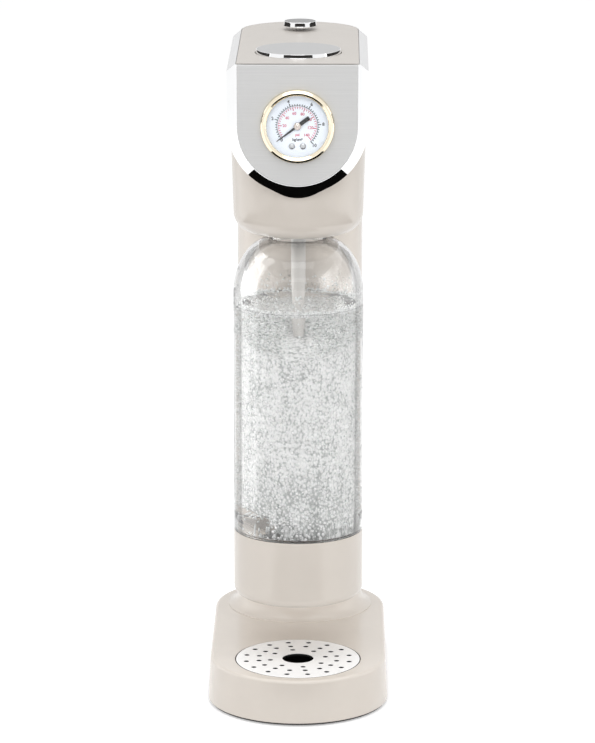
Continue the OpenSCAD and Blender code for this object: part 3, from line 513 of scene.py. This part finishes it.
def thick_edge(made, stops):
    """Greys by facing, for a thicker wall seen edge on and for painted shade: from face on, 0, to edge on,
    1, as pairs of place and grey.
    """
    nodes, links = made.node_tree.nodes, made.node_tree.links
    facing = nodes.new("ShaderNodeLayerWeight")
    ramp = nodes.new("ShaderNodeValToRGB")
    ramp.color_ramp.elements.remove(ramp.color_ramp.elements[1])
    for place, grey in stops:
        stop = ramp.color_ramp.elements.new(place)
        stop.color = (grey, grey, grey, 1)
    ramp.color_ramp.elements[0].color = (stops[0][1], stops[0][1], stops[0][1], 1)
    links.new(facing.outputs["Facing"], ramp.inputs["Fac"])
    links.new(ramp.outputs["Color"], sockets(made)["Base Color"])


looks["dial_white"] = moulded(
    "dial_enamel", (0.86, 0.91, 0.98), rough=0.38, grain=1200, depth=0.00002, spread=0.012)
looks["needle_black"] = moulded(
    "needle_paint", (0.006, 0.009, 0.011), rough=0.45, grain=1500, depth=0.00002, spread=0.2,
    Specular_IOR_Level=0.2)
looks["clear_lens"] = clear("gauge_lens_clear", (0.985, 0.99, 0.995), index=1.40, rough=0.01)
looks["clear_bottle"] = clear("bottle_clear", (0.99, 0.993, 0.992), index=1.57, rough=0.012)
# The bottle greys edge on, partly for its thicker wall and partly as painted shade; the dip to 0.40 is a
# painted dark line.
thick_edge(looks["clear_bottle"], ((0.50, 0.99), (0.555, 0.40), (0.60, 0.64), (1.0, 0.68)))
print("finishes in all:", len(looks))

# %% [markdown]
# Put the finishes on the solids
# Each solid comes with a slot that names its finish. The solids are loose CAD faces: a Weld modifier
# joins them, an Edge Split keeps the crisp edges crisp, and Weighted Normal makes the small roundings
# flow into the flats. Remeshing would smooth them too, but modifiers leave the solid's own mesh as it is.
# Clear pieces cast no shadow here, as clear plastic hardly does.

# %% Finishes on the solids
def flow(solid, crisp=34):
    """Smooth shading over small roundings, with edges above the crisp angle kept."""
    if "custom_normal" in solid.data.attributes:
        solid.data.attributes.remove(solid.data.attributes["custom_normal"])
    solid.data.polygons.foreach_set("use_smooth", [True] * len(solid.data.polygons))
    weld = solid.modifiers.new("join_faces", "WELD")
    weld.merge_threshold = 0.000004
    split = solid.modifiers.new("crisp_edges", "EDGE_SPLIT")
    split.split_angle = math.radians(crisp)
    split.use_edge_sharp = False
    even = solid.modifiers.new("even_normals", "WEIGHTED_NORMAL")
    even.weight = 50


slots_used = set()
for solid in solids.values():
    slot = solid.data.materials[0].name
    slots_used.add(slot)
    solid.data.materials.clear()
    solid.data.materials.append(looks[slot])
    flow(solid)
solids["drip_grid"].data.materials[0] = grid_look
solids["lid"].data.materials[0] = lid_look_painted_shade
for name in ("bottle", "gauge_lens"):
    solids[name].visible_shadow = False
print("dressed:", len(solids), "finishes in use:", len(slots_used))

# %% [markdown]
# Springs on the stand
# The springs under the button and the knob sit inside the head and shorten as these go down. Each is
# wound wire that stands on the head, so each is copied and fixed to the stand, where it keeps its foot.
# It keeps its full height too and is not squashed as the button or the knob travels, so it can poke
# through when they go down.

# %% Springs on the stand
for node, joint in (("button_spring", "carbonate_press"), ("release_spring", "release_press")):
    spring = new_object(node + "_wire", solids[node].data.copy())
    flow(spring)
    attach(spring, "stand")
    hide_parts(node)
    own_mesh(spring)

# %% [markdown]
# Turned shapes
# The button, the knob, the screws, the needle's hub and the water are round about an axis, as if turned
# on a lathe. A Screw modifier can spin a curve, but a helper that spins a list of points can also give
# each band a finish of its own.

# %% Spin a profile
def spun(name, profile, centre, finishes, which=None, steps=128):
    """A solid spun about a vertical axis. which gives the finish of each band."""
    mesh = bpy.data.meshes.new(name)
    shape = bmesh.new()
    turns = [2 * math.pi * k / steps for k in range(steps)]
    rings = []
    for radius, height in profile:
        ring = [(centre[0], centre[1], height)] if radius == 0 else [
            (centre[0] + radius * math.cos(a), centre[1] + radius * math.sin(a), height) for a in turns]
        rings.append([shape.verts.new(point) for point in ring])
    for band, (a, b) in enumerate(zip(rings, rings[1:])):
        for k in range(steps):
            j = (k + 1) % steps
            corners = [a[k % len(a)], a[j % len(a)], b[j % len(b)], b[k % len(b)]]
            face = shape.faces.new(list(dict.fromkeys(corners)))
            face.smooth = True
            face.material_index = which[band] if which else 0
    bmesh.ops.recalc_face_normals(shape, faces=shape.faces)
    shape.to_mesh(mesh)
    shape.free()
    for made in finishes:
        mesh.materials.append(made)
    return new_object(name, mesh)


def rounded(profile_from, corner, profile_to, radius, steps=5):
    """Points of a small round at a corner of a profile."""
    corner = Vector(corner)
    start = corner + (Vector(profile_from) - corner).normalized() * radius
    end = corner + (Vector(profile_to) - corner).normalized() * radius
    points = []
    for i in range(steps + 1):
        t = i / steps
        points.append(tuple((1 - t) ** 2 * start + 2 * t * (1 - t) * corner + t * t * end))
    return points


print("turned shapes are ready")

# %% [markdown]
# Button and knob
# The large button on the lid sends the gas, and the small knob behind it lets the pressure out. Both have
# a brushed face and a polished edge. The CAD discs have one finish each, so these are spun again in the
# same place with two: chrome for the rim, which leans in a little, and brushed metal for the face.

# %% Button and knob
EDGE_LEAN = math.tan(math.radians(9))
FOOT_ROUND = 0.6 * MM
BROW_ROUND = 0.16 * MM
POLISHED_EDGE = 0.1 * MM


def capped_disc(name, node, straight, face_finish):
    """A round cap like a CAD node. straight is the share of its height below the lean."""
    low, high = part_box(node)
    centre = ((low.x + high.x) / 2, (low.y + high.y) / 2)
    r = (high.x - low.x) / 2
    waist = low.z + (high.z - low.z) * straight
    top_r = r - EDGE_LEAN * (high.z - waist)
    foot = rounded((0, low.z), (r, low.z), (r, high.z), FOOT_ROUND) + [(r, waist)]
    brow = rounded((r, waist), (top_r, high.z), (0, high.z), BROW_ROUND)
    face = [(brow[-1][0] - POLISHED_EDGE, high.z), (r * 0.5, high.z), (0, high.z)]
    bands = [0] * (len(foot) + len(brow) + 1) + [1, 1]
    profile = [(0, low.z)] + foot + brow + face
    piece = spun(name, profile, centre, [looks["polished_metal"], face_finish], bands)
    split = piece.modifiers.new("crisp_edges", "EDGE_SPLIT")
    split.split_angle = math.radians(30)
    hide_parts(node)
    return piece


button_face = brushed("brushed_button_face", (0.475, 0.477, 0.48), 0.40, X, 0.03, metal=0.4)
knob_face = brushed("brushed_knob_face", (0.27, 0.272, 0.275), 0.40, X, 0.03, metal=0.4)
button_top = capped_disc("button_top", "carbonate_button", 0.45, button_face)
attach(button_top, "button")
knob_top = capped_disc("knob_top", "release_knob", 0.25, knob_face)
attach(knob_top, "release")
print("spun:", button_top.name, knob_top.name)

# %% [markdown]
# Painted shade in the lid's joint
# A thin grey bead runs along the joint between the lid and the front panel, a dark thing that stands
# in for the shade in that joint. A line in a material would do for one view; a half round drawn along the
# joint catches light too.

# %% Shaded bead in the lid joint
lid_low, lid_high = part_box("lid")
BEAD = 0.25 * MM
BEAD_OUT = 0.15 * MM
END_GAP = 0.3 * MM
bead_points, bead_faces = [], []
for x in (lid_low.x + END_GAP, lid_high.x - END_GAP):
    for k in range(9):
        a = math.pi * k / 8
        y = lid_low.y - BEAD_OUT - BEAD * math.cos(a)
        bead_points.append((x, y, lid_high.z + 2.0 * BEAD * math.sin(a)))
for k in range(8):
    bead_faces.append((k, k + 1, k + 10, k + 9))
bead_faces += [tuple(range(8, -1, -1)), tuple(range(9, 18)), (0, 9, 17, 8)]
# Painted shade: the grey bead stands in for the shade in the joint.
joint_shade_look = moulded("joint_painted_shade", (0.30, 0.28, 0.26), rough=0.6, grain=1400, depth=0.0001, spread=0.05)
lid_joint_shade = mesh_object("lid_joint_shade", bead_points, bead_faces, joint_shade_look)
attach(lid_joint_shade, "stand")
print("seal length in mm:", round((lid_high.x - lid_low.x - 2 * END_GAP) / MM, 1))

# %% [markdown]
# Screws of the dial
# Two small steel screws hold the dial, low on its face. At this size what reads is a round head with a
# light and a dark side, so each is a spun dome, laid on its back to face forward. They are a quarter
# wider than the CAD heads, to show at the size of the picture.

# %% Dial screws
screw_low, screw_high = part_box("dial_screws")
head_r = (screw_high.z - screw_low.z) / 2
dome_r = head_r * 1.25
DOME_FOOT = 0.15 * MM
DOME_RISE = 0.75 * MM
dome = [(0, 0), (dome_r, 0)]
dome += [(dome_r * math.cos(a), DOME_FOOT + DOME_RISE * math.sin(a)) for a in np.linspace(0, 1.45, 9)]
dome += [(0, DOME_FOOT + DOME_RISE)]
on_its_back = Matrix.Rotation(math.radians(90), 4, "X")
for side in (-1, 1):
    screw = spun("dial_screw_head", dome, (0, 0), [looks["screw_steel"]], steps=40)
    screw.data.transform(on_its_back)
    screw.location = (side * (screw_high.x - head_r), screw_high.y - DOME_FOOT - DOME_RISE,
                      (screw_low.z + screw_high.z) / 2)
    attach(screw, "stand")
    if side < 0:
        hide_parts("dial_screws")
print("screw heads of", round(2 * dome_r / MM, 2), "mm")

# %% [markdown]
# Marks on the dial
# The gauge has two scales on one sweep: a black one outside its arc, and a red one inside. The print
# could be a picture, but that would blur close up, so it is made of thin faces a few hundredths of a
# millimetre in front of the dial, as ink would be.

# %% Ticks and arcs
dial_x = (dial_low.x + dial_high.x) / 2
ink_y = dial_low.y - 0.04 * MM
ZERO = 216.6
SWEEP = 266.0


def on_dial(angle, radius):
    """A point on the dial, with the angle in degrees counted from the right and the radius in mm."""
    a = math.radians(angle)
    return Vector((dial_x + radius * MM * math.cos(a), ink_y, dial_z + radius * MM * math.sin(a)))


def quad(page, four):
    """Adds a face to a page, which is a list of corners and a list of faces."""
    corners, faces = page
    faces.append(tuple(range(len(corners), len(corners) + 4)))
    corners += four


def tick(page, angle, r0, r1, width):
    """Adds one tick."""
    a = math.radians(angle)
    across = Vector((-math.sin(a), 0, math.cos(a))) * width * MM / 2
    inner, outer = on_dial(angle, r0), on_dial(angle, r1)
    quad(page, [inner - across, outer - across, outer + across, inner + across])


def ring_arc(page, radius, width, start, end, steps=90):
    """Adds a thin arc."""
    r0, r1 = radius - width / 2, radius + width / 2
    for k in range(steps):
        a0 = start + (end - start) * k / steps
        a1 = start + (end - start) * (k + 1) / steps
        quad(page, [on_dial(a0, r0), on_dial(a1, r0), on_dial(a1, r1), on_dial(a0, r1)])


print("scale from", ZERO, "to", ZERO - SWEEP, "degrees")

# %% [markdown]
# Numbers on the dial
# The numbers are Blender text turned into mesh. Text objects could stay as they are, but one mesh for
# each colour of ink is simpler to handle.

# %% Lettering
def lettering(page, words, angle, radius, size, bold):
    """Adds a word or a number, centred at a place on the dial."""
    curve = bpy.data.curves.new("ink_words", "FONT")
    curve.body = words
    curve.size = size * MM
    curve.align_x = "CENTER"
    curve.align_y = "CENTER"
    curve.resolution_u = 3
    curve.offset = bold * MM
    helper = new_object("ink_words", curve)
    mesh = helper.evaluated_get(bpy.context.evaluated_depsgraph_get()).to_mesh()
    spot = on_dial(angle, radius)
    corners, faces = page
    n = len(corners)
    for v in mesh.vertices:
        corners.append(Vector((spot.x + v.co.x, ink_y, spot.z + v.co.y)))
    for p in mesh.polygons:
        faces.append(tuple(n + i for i in p.vertices))
    bpy.data.objects.remove(helper)
    bpy.data.curves.remove(curve)


def ink(name, page, made):
    """Turns a page into one piece on the stand."""
    piece = mesh_object(name, [tuple(c) for c in page[0]], page[1], made)
    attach(piece, "stand")
    return piece


print("lettering is ready")

# %% [markdown]
# Both scales
# The black scale runs from 0 to 10, with a number at every second unit. The red scale gives the same
# pressure in a smaller unit, in which 10 of the large ones are 142.2. Placing the ticks by eye would let
# the two drift apart; even steps in a loop keep them in register.

# %% Black and red print
RED_AT_END = 142.2
black_ink = moulded("black_ink", (0.012, 0.016, 0.024), rough=0.5, grain=1500, depth=0.00001, spread=0.2)
red_ink = moulded("red_ink", (0.58, 0.07, 0.14), rough=0.5, grain=1500, depth=0.00001, spread=0.12)
page = ([], [])
ring_arc(page, 13.1, 0.36, ZERO, ZERO - SWEEP)
for quarter in range(41):
    angle = ZERO - SWEEP * quarter / 40
    long = quarter % 8 == 0
    tick(page, angle, 12.9, 15.2 if long else 14.2, 0.62 if long else 0.55)
for unit in range(0, 11, 2):
    angle = ZERO - SWEEP * unit / 10
    lettering(page, str(unit), angle if unit else 222.0, 16.6 if unit else 13.6, 2.9, 0.10)
lettering(page, "kg/cm\u00b2", 270, 8.8, 2.4, 0.10)
black_print = ink("dial_print_black", page, black_ink)
page = ([], [])
ring_arc(page, 12.3, 0.22, ZERO, ZERO - SWEEP)
for step in range(36):
    angle = ZERO - SWEEP * (step * 4) / RED_AT_END
    long = step % 5 == 0
    tick(page, angle, 10.1 if long else 11.0, 12.3, 0.62 if long else 0.46)
for number in range(20, 141, 20):
    angle = ZERO - SWEEP * number / RED_AT_END
    lettering(page, str(number), angle, 8.3, 2.6, 0.07)
lettering(page, "psi", 270, 5.7, 2.5, 0.07)
red_print = ink("dial_print_red", page, red_ink)
print("ink faces:", len(black_print.data.polygons), len(red_print.data.polygons))

# %% [markdown]
# The hub of the needle
# A small turned cap in warm brass covers the middle of the needle and turns with it. Like the screws it
# is spun and then laid on its back; a flat disc would have no rim to catch the light.

# %% Needle hub
hub_look = brushed("warm_brass_hub", (0.60, 0.53, 0.48), 0.22, X)
hub_profile = [(0, 0), (2.3, 0), (2.42, 0.15), (2.42, 0.5), (2.2, 0.78), (1.1, 0.9), (0.62, 0.9),
               (0.5, 1.04), (0, 1.1)]
HUB_SINK = 0.8 * MM
hub = spun("needle_hub", [(r * MM, h * MM) for r, h in hub_profile], (0, 0), [hub_look], steps=48)
hub.data.transform(on_its_back)
hub.location = (dial_x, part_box("gauge_needle")[0].y + HUB_SINK, dial_z)
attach(hub, "needle")
print("hub at", tuple(round(c, 4) for c in hub.location))

# %% [markdown]
# Water
# Water fills the bottle to about two thirds. A fluid simulation could shape it, but still water needs no
# more than a spun profile. It is one closed body that reaches a hair into the bottle's wall, so that no
# film of air shows between the two. The surface climbs a little at the wall, with tight rings there to
# keep the shading true, and has soft ripples from the jet of gas.

# %% Water
bottle_low, bottle_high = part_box("bottle")
axis_x = (bottle_low.x + bottle_high.x) / 2
axis_y = (bottle_low.y + bottle_high.y) / 2
BOTTLE_WALL = 1.4 * MM
OVERLAP = 0.1 * MM
wet = (bottle_high.x - bottle_low.x) / 2 - BOTTLE_WALL + OVERLAP
narrow = wet - 0.0021
cup_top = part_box("bottle_cup")[1].z
WATER_TOP = cup_top + 0.1535
WATER_FOOT = cup_top - 0.0407
RIPPLE = 0.0010
water_look = clear("sparkling_water", (0.99, 0.994, 0.992), index=1.33, rough=0.004)
# Painted shade: the water greys in a band towards its edge, for the darker things seen through the bottle's
# edge.
thick_edge(water_look, ((0.17, 0.99), (0.195, 0.86), (0.40, 0.86), (0.55, 0.98)))
profile = [(0, WATER_FOOT), (0.030, WATER_FOOT), (0.036, cup_top - 0.0375), (narrow, cup_top - 0.032)]
profile += [(narrow, cup_top + 0.0012), (wet, cup_top + 0.0022)]
profile += [(wet, z) for z in np.linspace(cup_top + 0.012, WATER_TOP - 0.0008, 12)]
profile += [(wet, WATER_TOP - 0.0002), (wet, WATER_TOP + 0.0006)]
profile += [(wet - 0.0004, WATER_TOP + 0.0002), (wet - 0.0012, WATER_TOP)]
profile += [(r, WATER_TOP) for r in np.linspace(wet - 0.005, 0.003, 12)] + [(0, WATER_TOP)]
water = spun("water", profile, (axis_x, axis_y), [water_look], steps=144)
for v in water.data.vertices:
    if v.co.z > WATER_TOP - 0.0001:
        reach = math.hypot(v.co.x - axis_x, v.co.y - axis_y)
        swell = noise.noise(Vector((v.co.x * 130, v.co.y * 130, 0)))
        swell += 0.5 * noise.noise(Vector((v.co.x * 320, v.co.y * 320, 4)))
        v.co.z += swell * RIPPLE * min(1.0, max(0.0, wet - reach) / 0.004)
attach(water, "bottle_set")
water.visible_shadow = False
wet_things.objects.link(water)
print("water to", round(WATER_TOP, 4), "radius", round(wet, 4))

# %% [markdown]
# The shape of the bubble cloud
# Gas leaves the nozzle as a plume that fills the bottle with a fine, milky cloud, of far more bubbles than
# a mesh can hold. A volume would be milky but smooth. So the cloud is a bumpy curtain inside the water,
# with a few thousand real little spheres in front of it. Water in a round bottle acts as a lens and widens
# what is inside by a third, so the cloud is narrower than it looks. It slopes away in front, where the tip
# of the nozzle shows, and stops short of the bottom on one side, where the water is still clear.

# %% Cloud shape
CLOUD = 0.0290
SLOPE = 0.42


def cloud_foot(angle):
    """Height of the foot of the cloud, round the bottle. Angle 180 is the left, 270 the front."""
    rise = np.interp(angle, (110, 150, 204, 234, 245, 256), (0, 14, 15.5, 11.8, 6.1, 0))
    return cup_top + 0.001 + rise * MM


def cloud_top(y):
    """Height of the sloping top of the cloud."""
    return WATER_TOP - 0.0210 + SLOPE * (y - axis_y)


def bumpy(r, a, z):
    """How far the skin of the cloud bulges."""
    spot = Vector((r * math.cos(a), r * math.sin(a), z))
    return 0.0010 * noise.noise(spot * 260) + 0.0007 * noise.noise(spot * 620)


def cloud_body(around=220, foot_rings=20, up=150, lid_rings=26):
    """A bumpy skin round the cloud: a foot, a side wall and a sloping top."""
    points, skin = [], []
    for i in range(-foot_rings, up + 1 + lid_rings):
        for k in range(around):
            angle = 360 * k / around
            a = math.radians(angle)
            foot = cloud_foot(angle) + 0.0022 * noise.noise(Vector((3 * math.cos(a), 3 * math.sin(a), 0)))
            if i < 0:
                part = 1 + (i + 0.5) / foot_rings
                r = (CLOUD - 0.002) * part
                z = cup_top + 0.003 + (foot - cup_top - 0.003) * part
                z += bumpy(r, a, z)
            elif i <= up:
                z = foot + (cloud_top(axis_y + CLOUD * math.sin(a)) - foot) * i / up
                r = CLOUD + bumpy(CLOUD, a, z)
            else:
                r = CLOUD * (1 - (i - up) / (lid_rings + 0.5))
                z = cloud_top(axis_y + r * math.sin(a))
                z += bumpy(r, a, z)
            points.append((axis_x + r * math.cos(a), axis_y + r * math.sin(a), z))
    rows = foot_rings + up + lid_rings
    for i in range(rows):
        for k in range(around):
            j = (k + 1) % around
            skin.append((i * around + k, i * around + j, (i + 1) * around + j, (i + 1) * around + k))
    skin.append(tuple(range(around - 1, -1, -1)))
    skin.append(tuple(rows * around + k for k in range(around)))
    return points, skin


cloud_points, cloud_skin = cloud_body()
print("cloud faces:", len(cloud_skin))

# %% [markdown]
# The look of the bubble cloud
# Up close the curtain has to look like packed bubbles: bright crowns with grey gaps, which are a painted
# highlight and painted shade. A Voronoi texture makes cells of that size, and its distance drives both the
# colour and the bump. Two layers of noise add soft darker drifts, and the cloud gets darker towards the
# bottom.

# %% Cloud look
def fizz(name):
    """Cells as small as bubbles, with painted highlights and shade, drifts, and darker towards the bottom.
    """
    made = finish(name, (0.95, 0.955, 0.95), 0.25)
    tree = made.node_tree
    cells = tree.nodes.new("ShaderNodeTexVoronoi")
    cells.feature = "F1"
    cells.inputs["Scale"].default_value = 1.0
    tree.links.new(place_on_piece(made, (640, 640, 480)), cells.inputs["Vector"])
    total = cells.outputs["Distance"]
    for layer, share in ((noise_on(made, (210, 210, 45), 5, 0.62), 1.15),
                         (noise_on(made, (70, 70, 24), 3, 0.5), 0.65),
                         (map_range(tree, height_on(made), cup_top + 0.055, cup_top, 0, 0.25), 1.0)):
        total = maths(tree, "MULTIPLY_ADD", layer, share, total)
    spread = map_range(tree, total, 0.90, 1.90)
    # Painted light: the light end of the ramp is highlight on bubble crowns, the dark end shade in the gaps.
    ramp = mottle(made, spread, (0.99, 0.99, 0.985), (0.45, 0.465, 0.458), 0.20, 0.90)
    middle_tone = ramp.color_ramp.elements.new(0.50)
    middle_tone.color = (0.91, 0.915, 0.91, 1)
    raise_grain(made, cells.outputs["Distance"], 0.6, -0.0010)
    return made


cloud = mesh_object("bubble_cloud", cloud_points, cloud_skin, fizz("fizz_cloud"), smooth=True)
cloud.visible_shadow = False
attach(cloud, "bottle_set")
print("cloud look:", cloud.data.materials[0].name)

# %% [markdown]
# Many little spheres
# The bubbles that can be told apart are real spheres. Thousands of objects would be slow to handle, so a
# helper writes all the spheres of one kind into one mesh. A random generator with a fixed seed gives the
# same places every time, and a test says which to keep.

# %% Scatter spheres
dice = np.random.default_rng(11)


def ball(fine):
    """Corners and faces of a small sphere."""
    shape = bmesh.new()
    bmesh.ops.create_icosphere(shape, subdivisions=fine, radius=1.0)
    shape.verts.ensure_lookup_table()
    points = np.array([v.co for v in shape.verts])
    faces = np.array([[v.index for v in f.verts] for f in shape.faces])
    shape.free()
    return points, faces


def pressed(spheres, places, flat):
    """Spheres pressed flat against the bottle's wall."""
    outward = places - np.array([axis_x, axis_y, 0])
    outward[:, 2] = 0
    outward /= np.linalg.norm(outward, axis=1)[:, None]
    along = np.einsum("nij,nj->ni", spheres, outward)
    return spheres - (along * (1 - flat))[:, :, None] * outward[:, None, :]


def ring_places(count, radii, heights, keep):
    """Places between two radii and two heights, kept where keep says so."""
    found = []
    while len(found) < count:
        angle = dice.uniform(0, 360)
        r = math.sqrt(dice.uniform(radii[0] * radii[0], radii[1] * radii[1]))
        z = dice.uniform(*heights)
        if keep(angle, r, z):
            a = math.radians(angle)
            found.append((axis_x + r * math.cos(a), axis_y + r * math.sin(a), z))
    return np.array(found)


def strew(name, count, radii, heights, keep, sizes, made, flat=1.0, fine=2):
    """One mesh of many little spheres, with radii in mm between two sizes."""
    places = ring_places(count, radii, heights, keep)
    points, faces = ball(fine)
    spheres = np.repeat(points[None], count, 0) * (dice.uniform(*sizes, count) * MM)[:, None, None]
    if flat < 1:
        spheres = pressed(spheres, places, flat)
    spheres = spheres + places[:, None, :]
    all_faces = (faces[None] + (np.arange(count) * len(points))[:, None, None]).reshape(-1, 3)
    piece = mesh_object(name, spheres.reshape(-1, 3).tolist(), all_faces.tolist(), made, smooth=True)
    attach(piece, "bottle_set")
    print(name, count)


print("a sphere has", len(ball(2)[1]), "faces, a large one", len(ball(3)[1]))

# %% [markdown]
# Bubbles in front of the cloud
# A bubble is bright on its crown and darker below. Tracing real gas in water for thousands of them is
# slow and noisy, so they are pearls: bright ones, and darker ones among them, painted shade for depth.
# They hug the skin of the cloud, between its foot and its sloping top.

# %% Bright and dark bubbles
pearl = finish("bubble_pearl", (0.96, 0.965, 0.96), 0.08, 0.0, IOR=1.7)
mottle(pearl, noise_on(pearl, 300, 2), (0.88, 0.90, 0.89), (0.98, 0.985, 0.98))
# The darker pearls are a shaded copy of the pearl: painted shade.
shaded_pearl = finish("bubble_shade", (0.50, 0.54, 0.52), 0.10, 0.0, IOR=1.6)
mottle(shaded_pearl, noise_on(shaded_pearl, 300, 2), (0.42, 0.46, 0.44), (0.68, 0.72, 0.70))


def in_cloud(angle, r, z):
    """True between the foot of the cloud and its sloping top."""
    top = cloud_top(axis_y + r * math.sin(math.radians(angle)))
    return cloud_foot(angle) - 0.002 * dice.random() < z < top + 0.002


cloud_span = (cup_top + 0.002, WATER_TOP - 0.012)
strew("bubbles_bright", 2300, (CLOUD - 0.0006, CLOUD + 0.0022), cloud_span, in_cloud, (0.30, 0.75), pearl)
strew("bubbles_shade", 700, (CLOUD - 0.0004, CLOUD + 0.0020), cloud_span, in_cloud, (0.25, 0.6), shaded_pearl)

# %% [markdown]
# Bubbles that rise
# Over the slope the bubbles thin out on their way to the surface, and few pass in front of the nozzle. A
# chance that falls with the height does that without a line where they stop.

# %% Rising and loose bubbles
def above_slope(angle, r, z):
    """True just over the sloping top of the cloud, and more rarely up to the surface."""
    y = axis_y + r * math.sin(math.radians(angle))
    over = z - cloud_top(y)
    hides_nozzle = abs(r * math.cos(math.radians(angle))) < 0.006 and y < axis_y
    return 0.0 < over and dice.random() < (0.01 if hides_nozzle else 0.06 + math.exp(-over / 0.0025))


def loose(angle, r, z):
    """True for half of the places below the cloud."""
    return z < cloud_foot(angle) + 0.002 and dice.random() < 0.5


slope_radii = (0.006, CLOUD + 0.002)
slope_span = (WATER_TOP - 0.030, WATER_TOP - 0.001)
strew("bubbles_rising", 900, slope_radii, slope_span, above_slope, (0.30, 0.85), pearl)
strew("bubbles_rising_shade", 260, slope_radii, slope_span, above_slope, (0.25, 0.7), shaded_pearl)
strew("bubbles_loose", 140, (0.004, CLOUD + 0.003), (cup_top + 0.002, cup_top + 0.022), loose,
      (0.3, 0.8), pearl)

# %% [markdown]
# Large bubbles
# Some bubbles are large enough to show a dark rim, where a bubble bends the light away. Layer Weight
# draws it, as for the bottle. They sit in front and low in the middle, and a last lot of small ones fills
# both sides of the water below the surface.

# %% Large and side bubbles
rimmed = finish("bubble_rimmed", (0.95, 0.955, 0.95), 0.06, 0.0, IOR=1.7)
thick_edge(rimmed, ((0.25, 0.98), (0.55, 0.72), (0.80, 0.30), (1.0, 0.25)))


def in_front(angle, r, z):
    """True on the front of the cloud."""
    return 195 < angle < 345 and in_cloud(angle, r, z - 0.001)


def low_middle(angle, r, z):
    """True low in front, more often near the bottom."""
    return 238 < angle < 305 and z - cup_top < 0.022 * dice.random()


def at_side(angle, r, z):
    """True on the left and on the right."""
    return abs(math.cos(math.radians(angle))) > 0.5


strew("bubbles_large", 170, (CLOUD, CLOUD + 0.0022), (cup_top + 0.003, WATER_TOP - 0.016), in_front,
      (0.55, 1.05), rimmed, fine=3)
strew("bubbles_bottom", 110, (CLOUD - 0.001, CLOUD + 0.003), (cup_top + 0.0015, cup_top + 0.022), low_middle,
      (0.55, 1.15), rimmed, fine=3)
side_radii = (0.0262, 0.0322)
side_span = (WATER_TOP - 0.025, WATER_TOP - 0.0012)
strew("bubbles_side", 900, side_radii, side_span, at_side, (0.35, 0.85), pearl)
strew("bubbles_side_shade", 260, side_radii, side_span, at_side, (0.3, 0.7), shaded_pearl)

# %% [markdown]
# Foam and droplets
# Where the bubbles burst, a ring of foam clings to the wall, and the splash leaves droplets on the inside
# of the bottle, fewer the higher up. A droplet could be a dome, but a sphere pressed flat against the
# wall looks the same and uses the same helper.

# %% Foam and droplets
def anywhere(angle, r, z):
    """True for every place."""
    return True


def thin_out(angle, r, z):
    """True less often with the height over the water."""
    return dice.random() < math.exp(-(z - WATER_TOP) / 0.006)


def at_near_edge(angle, r, z):
    """True on the near side of the surface."""
    return 200 < angle < 340


splash_span = (WATER_TOP + 0.001, WATER_TOP + 0.015)
strew("foam_ring", 950, (wet - 0.0030, wet - 0.0008), (WATER_TOP - 0.001, WATER_TOP + 0.0022), anywhere,
      (0.35, 0.9), pearl)
strew("splash_drops", 420, (wet - 0.0003, wet - 0.0001), splash_span, thin_out, (0.25, 0.75), water_look,
      flat=0.45)
strew("splash_foam", 300, (wet - 0.0004, wet - 0.0002), splash_span, thin_out, (0.3, 0.8), pearl, flat=0.5)
strew("foam_near", 150, (wet - 0.0026, wet - 0.0010), (WATER_TOP - 0.0012, WATER_TOP + 0.0012), at_near_edge,
      (0.45, 1.0), rimmed, fine=3)
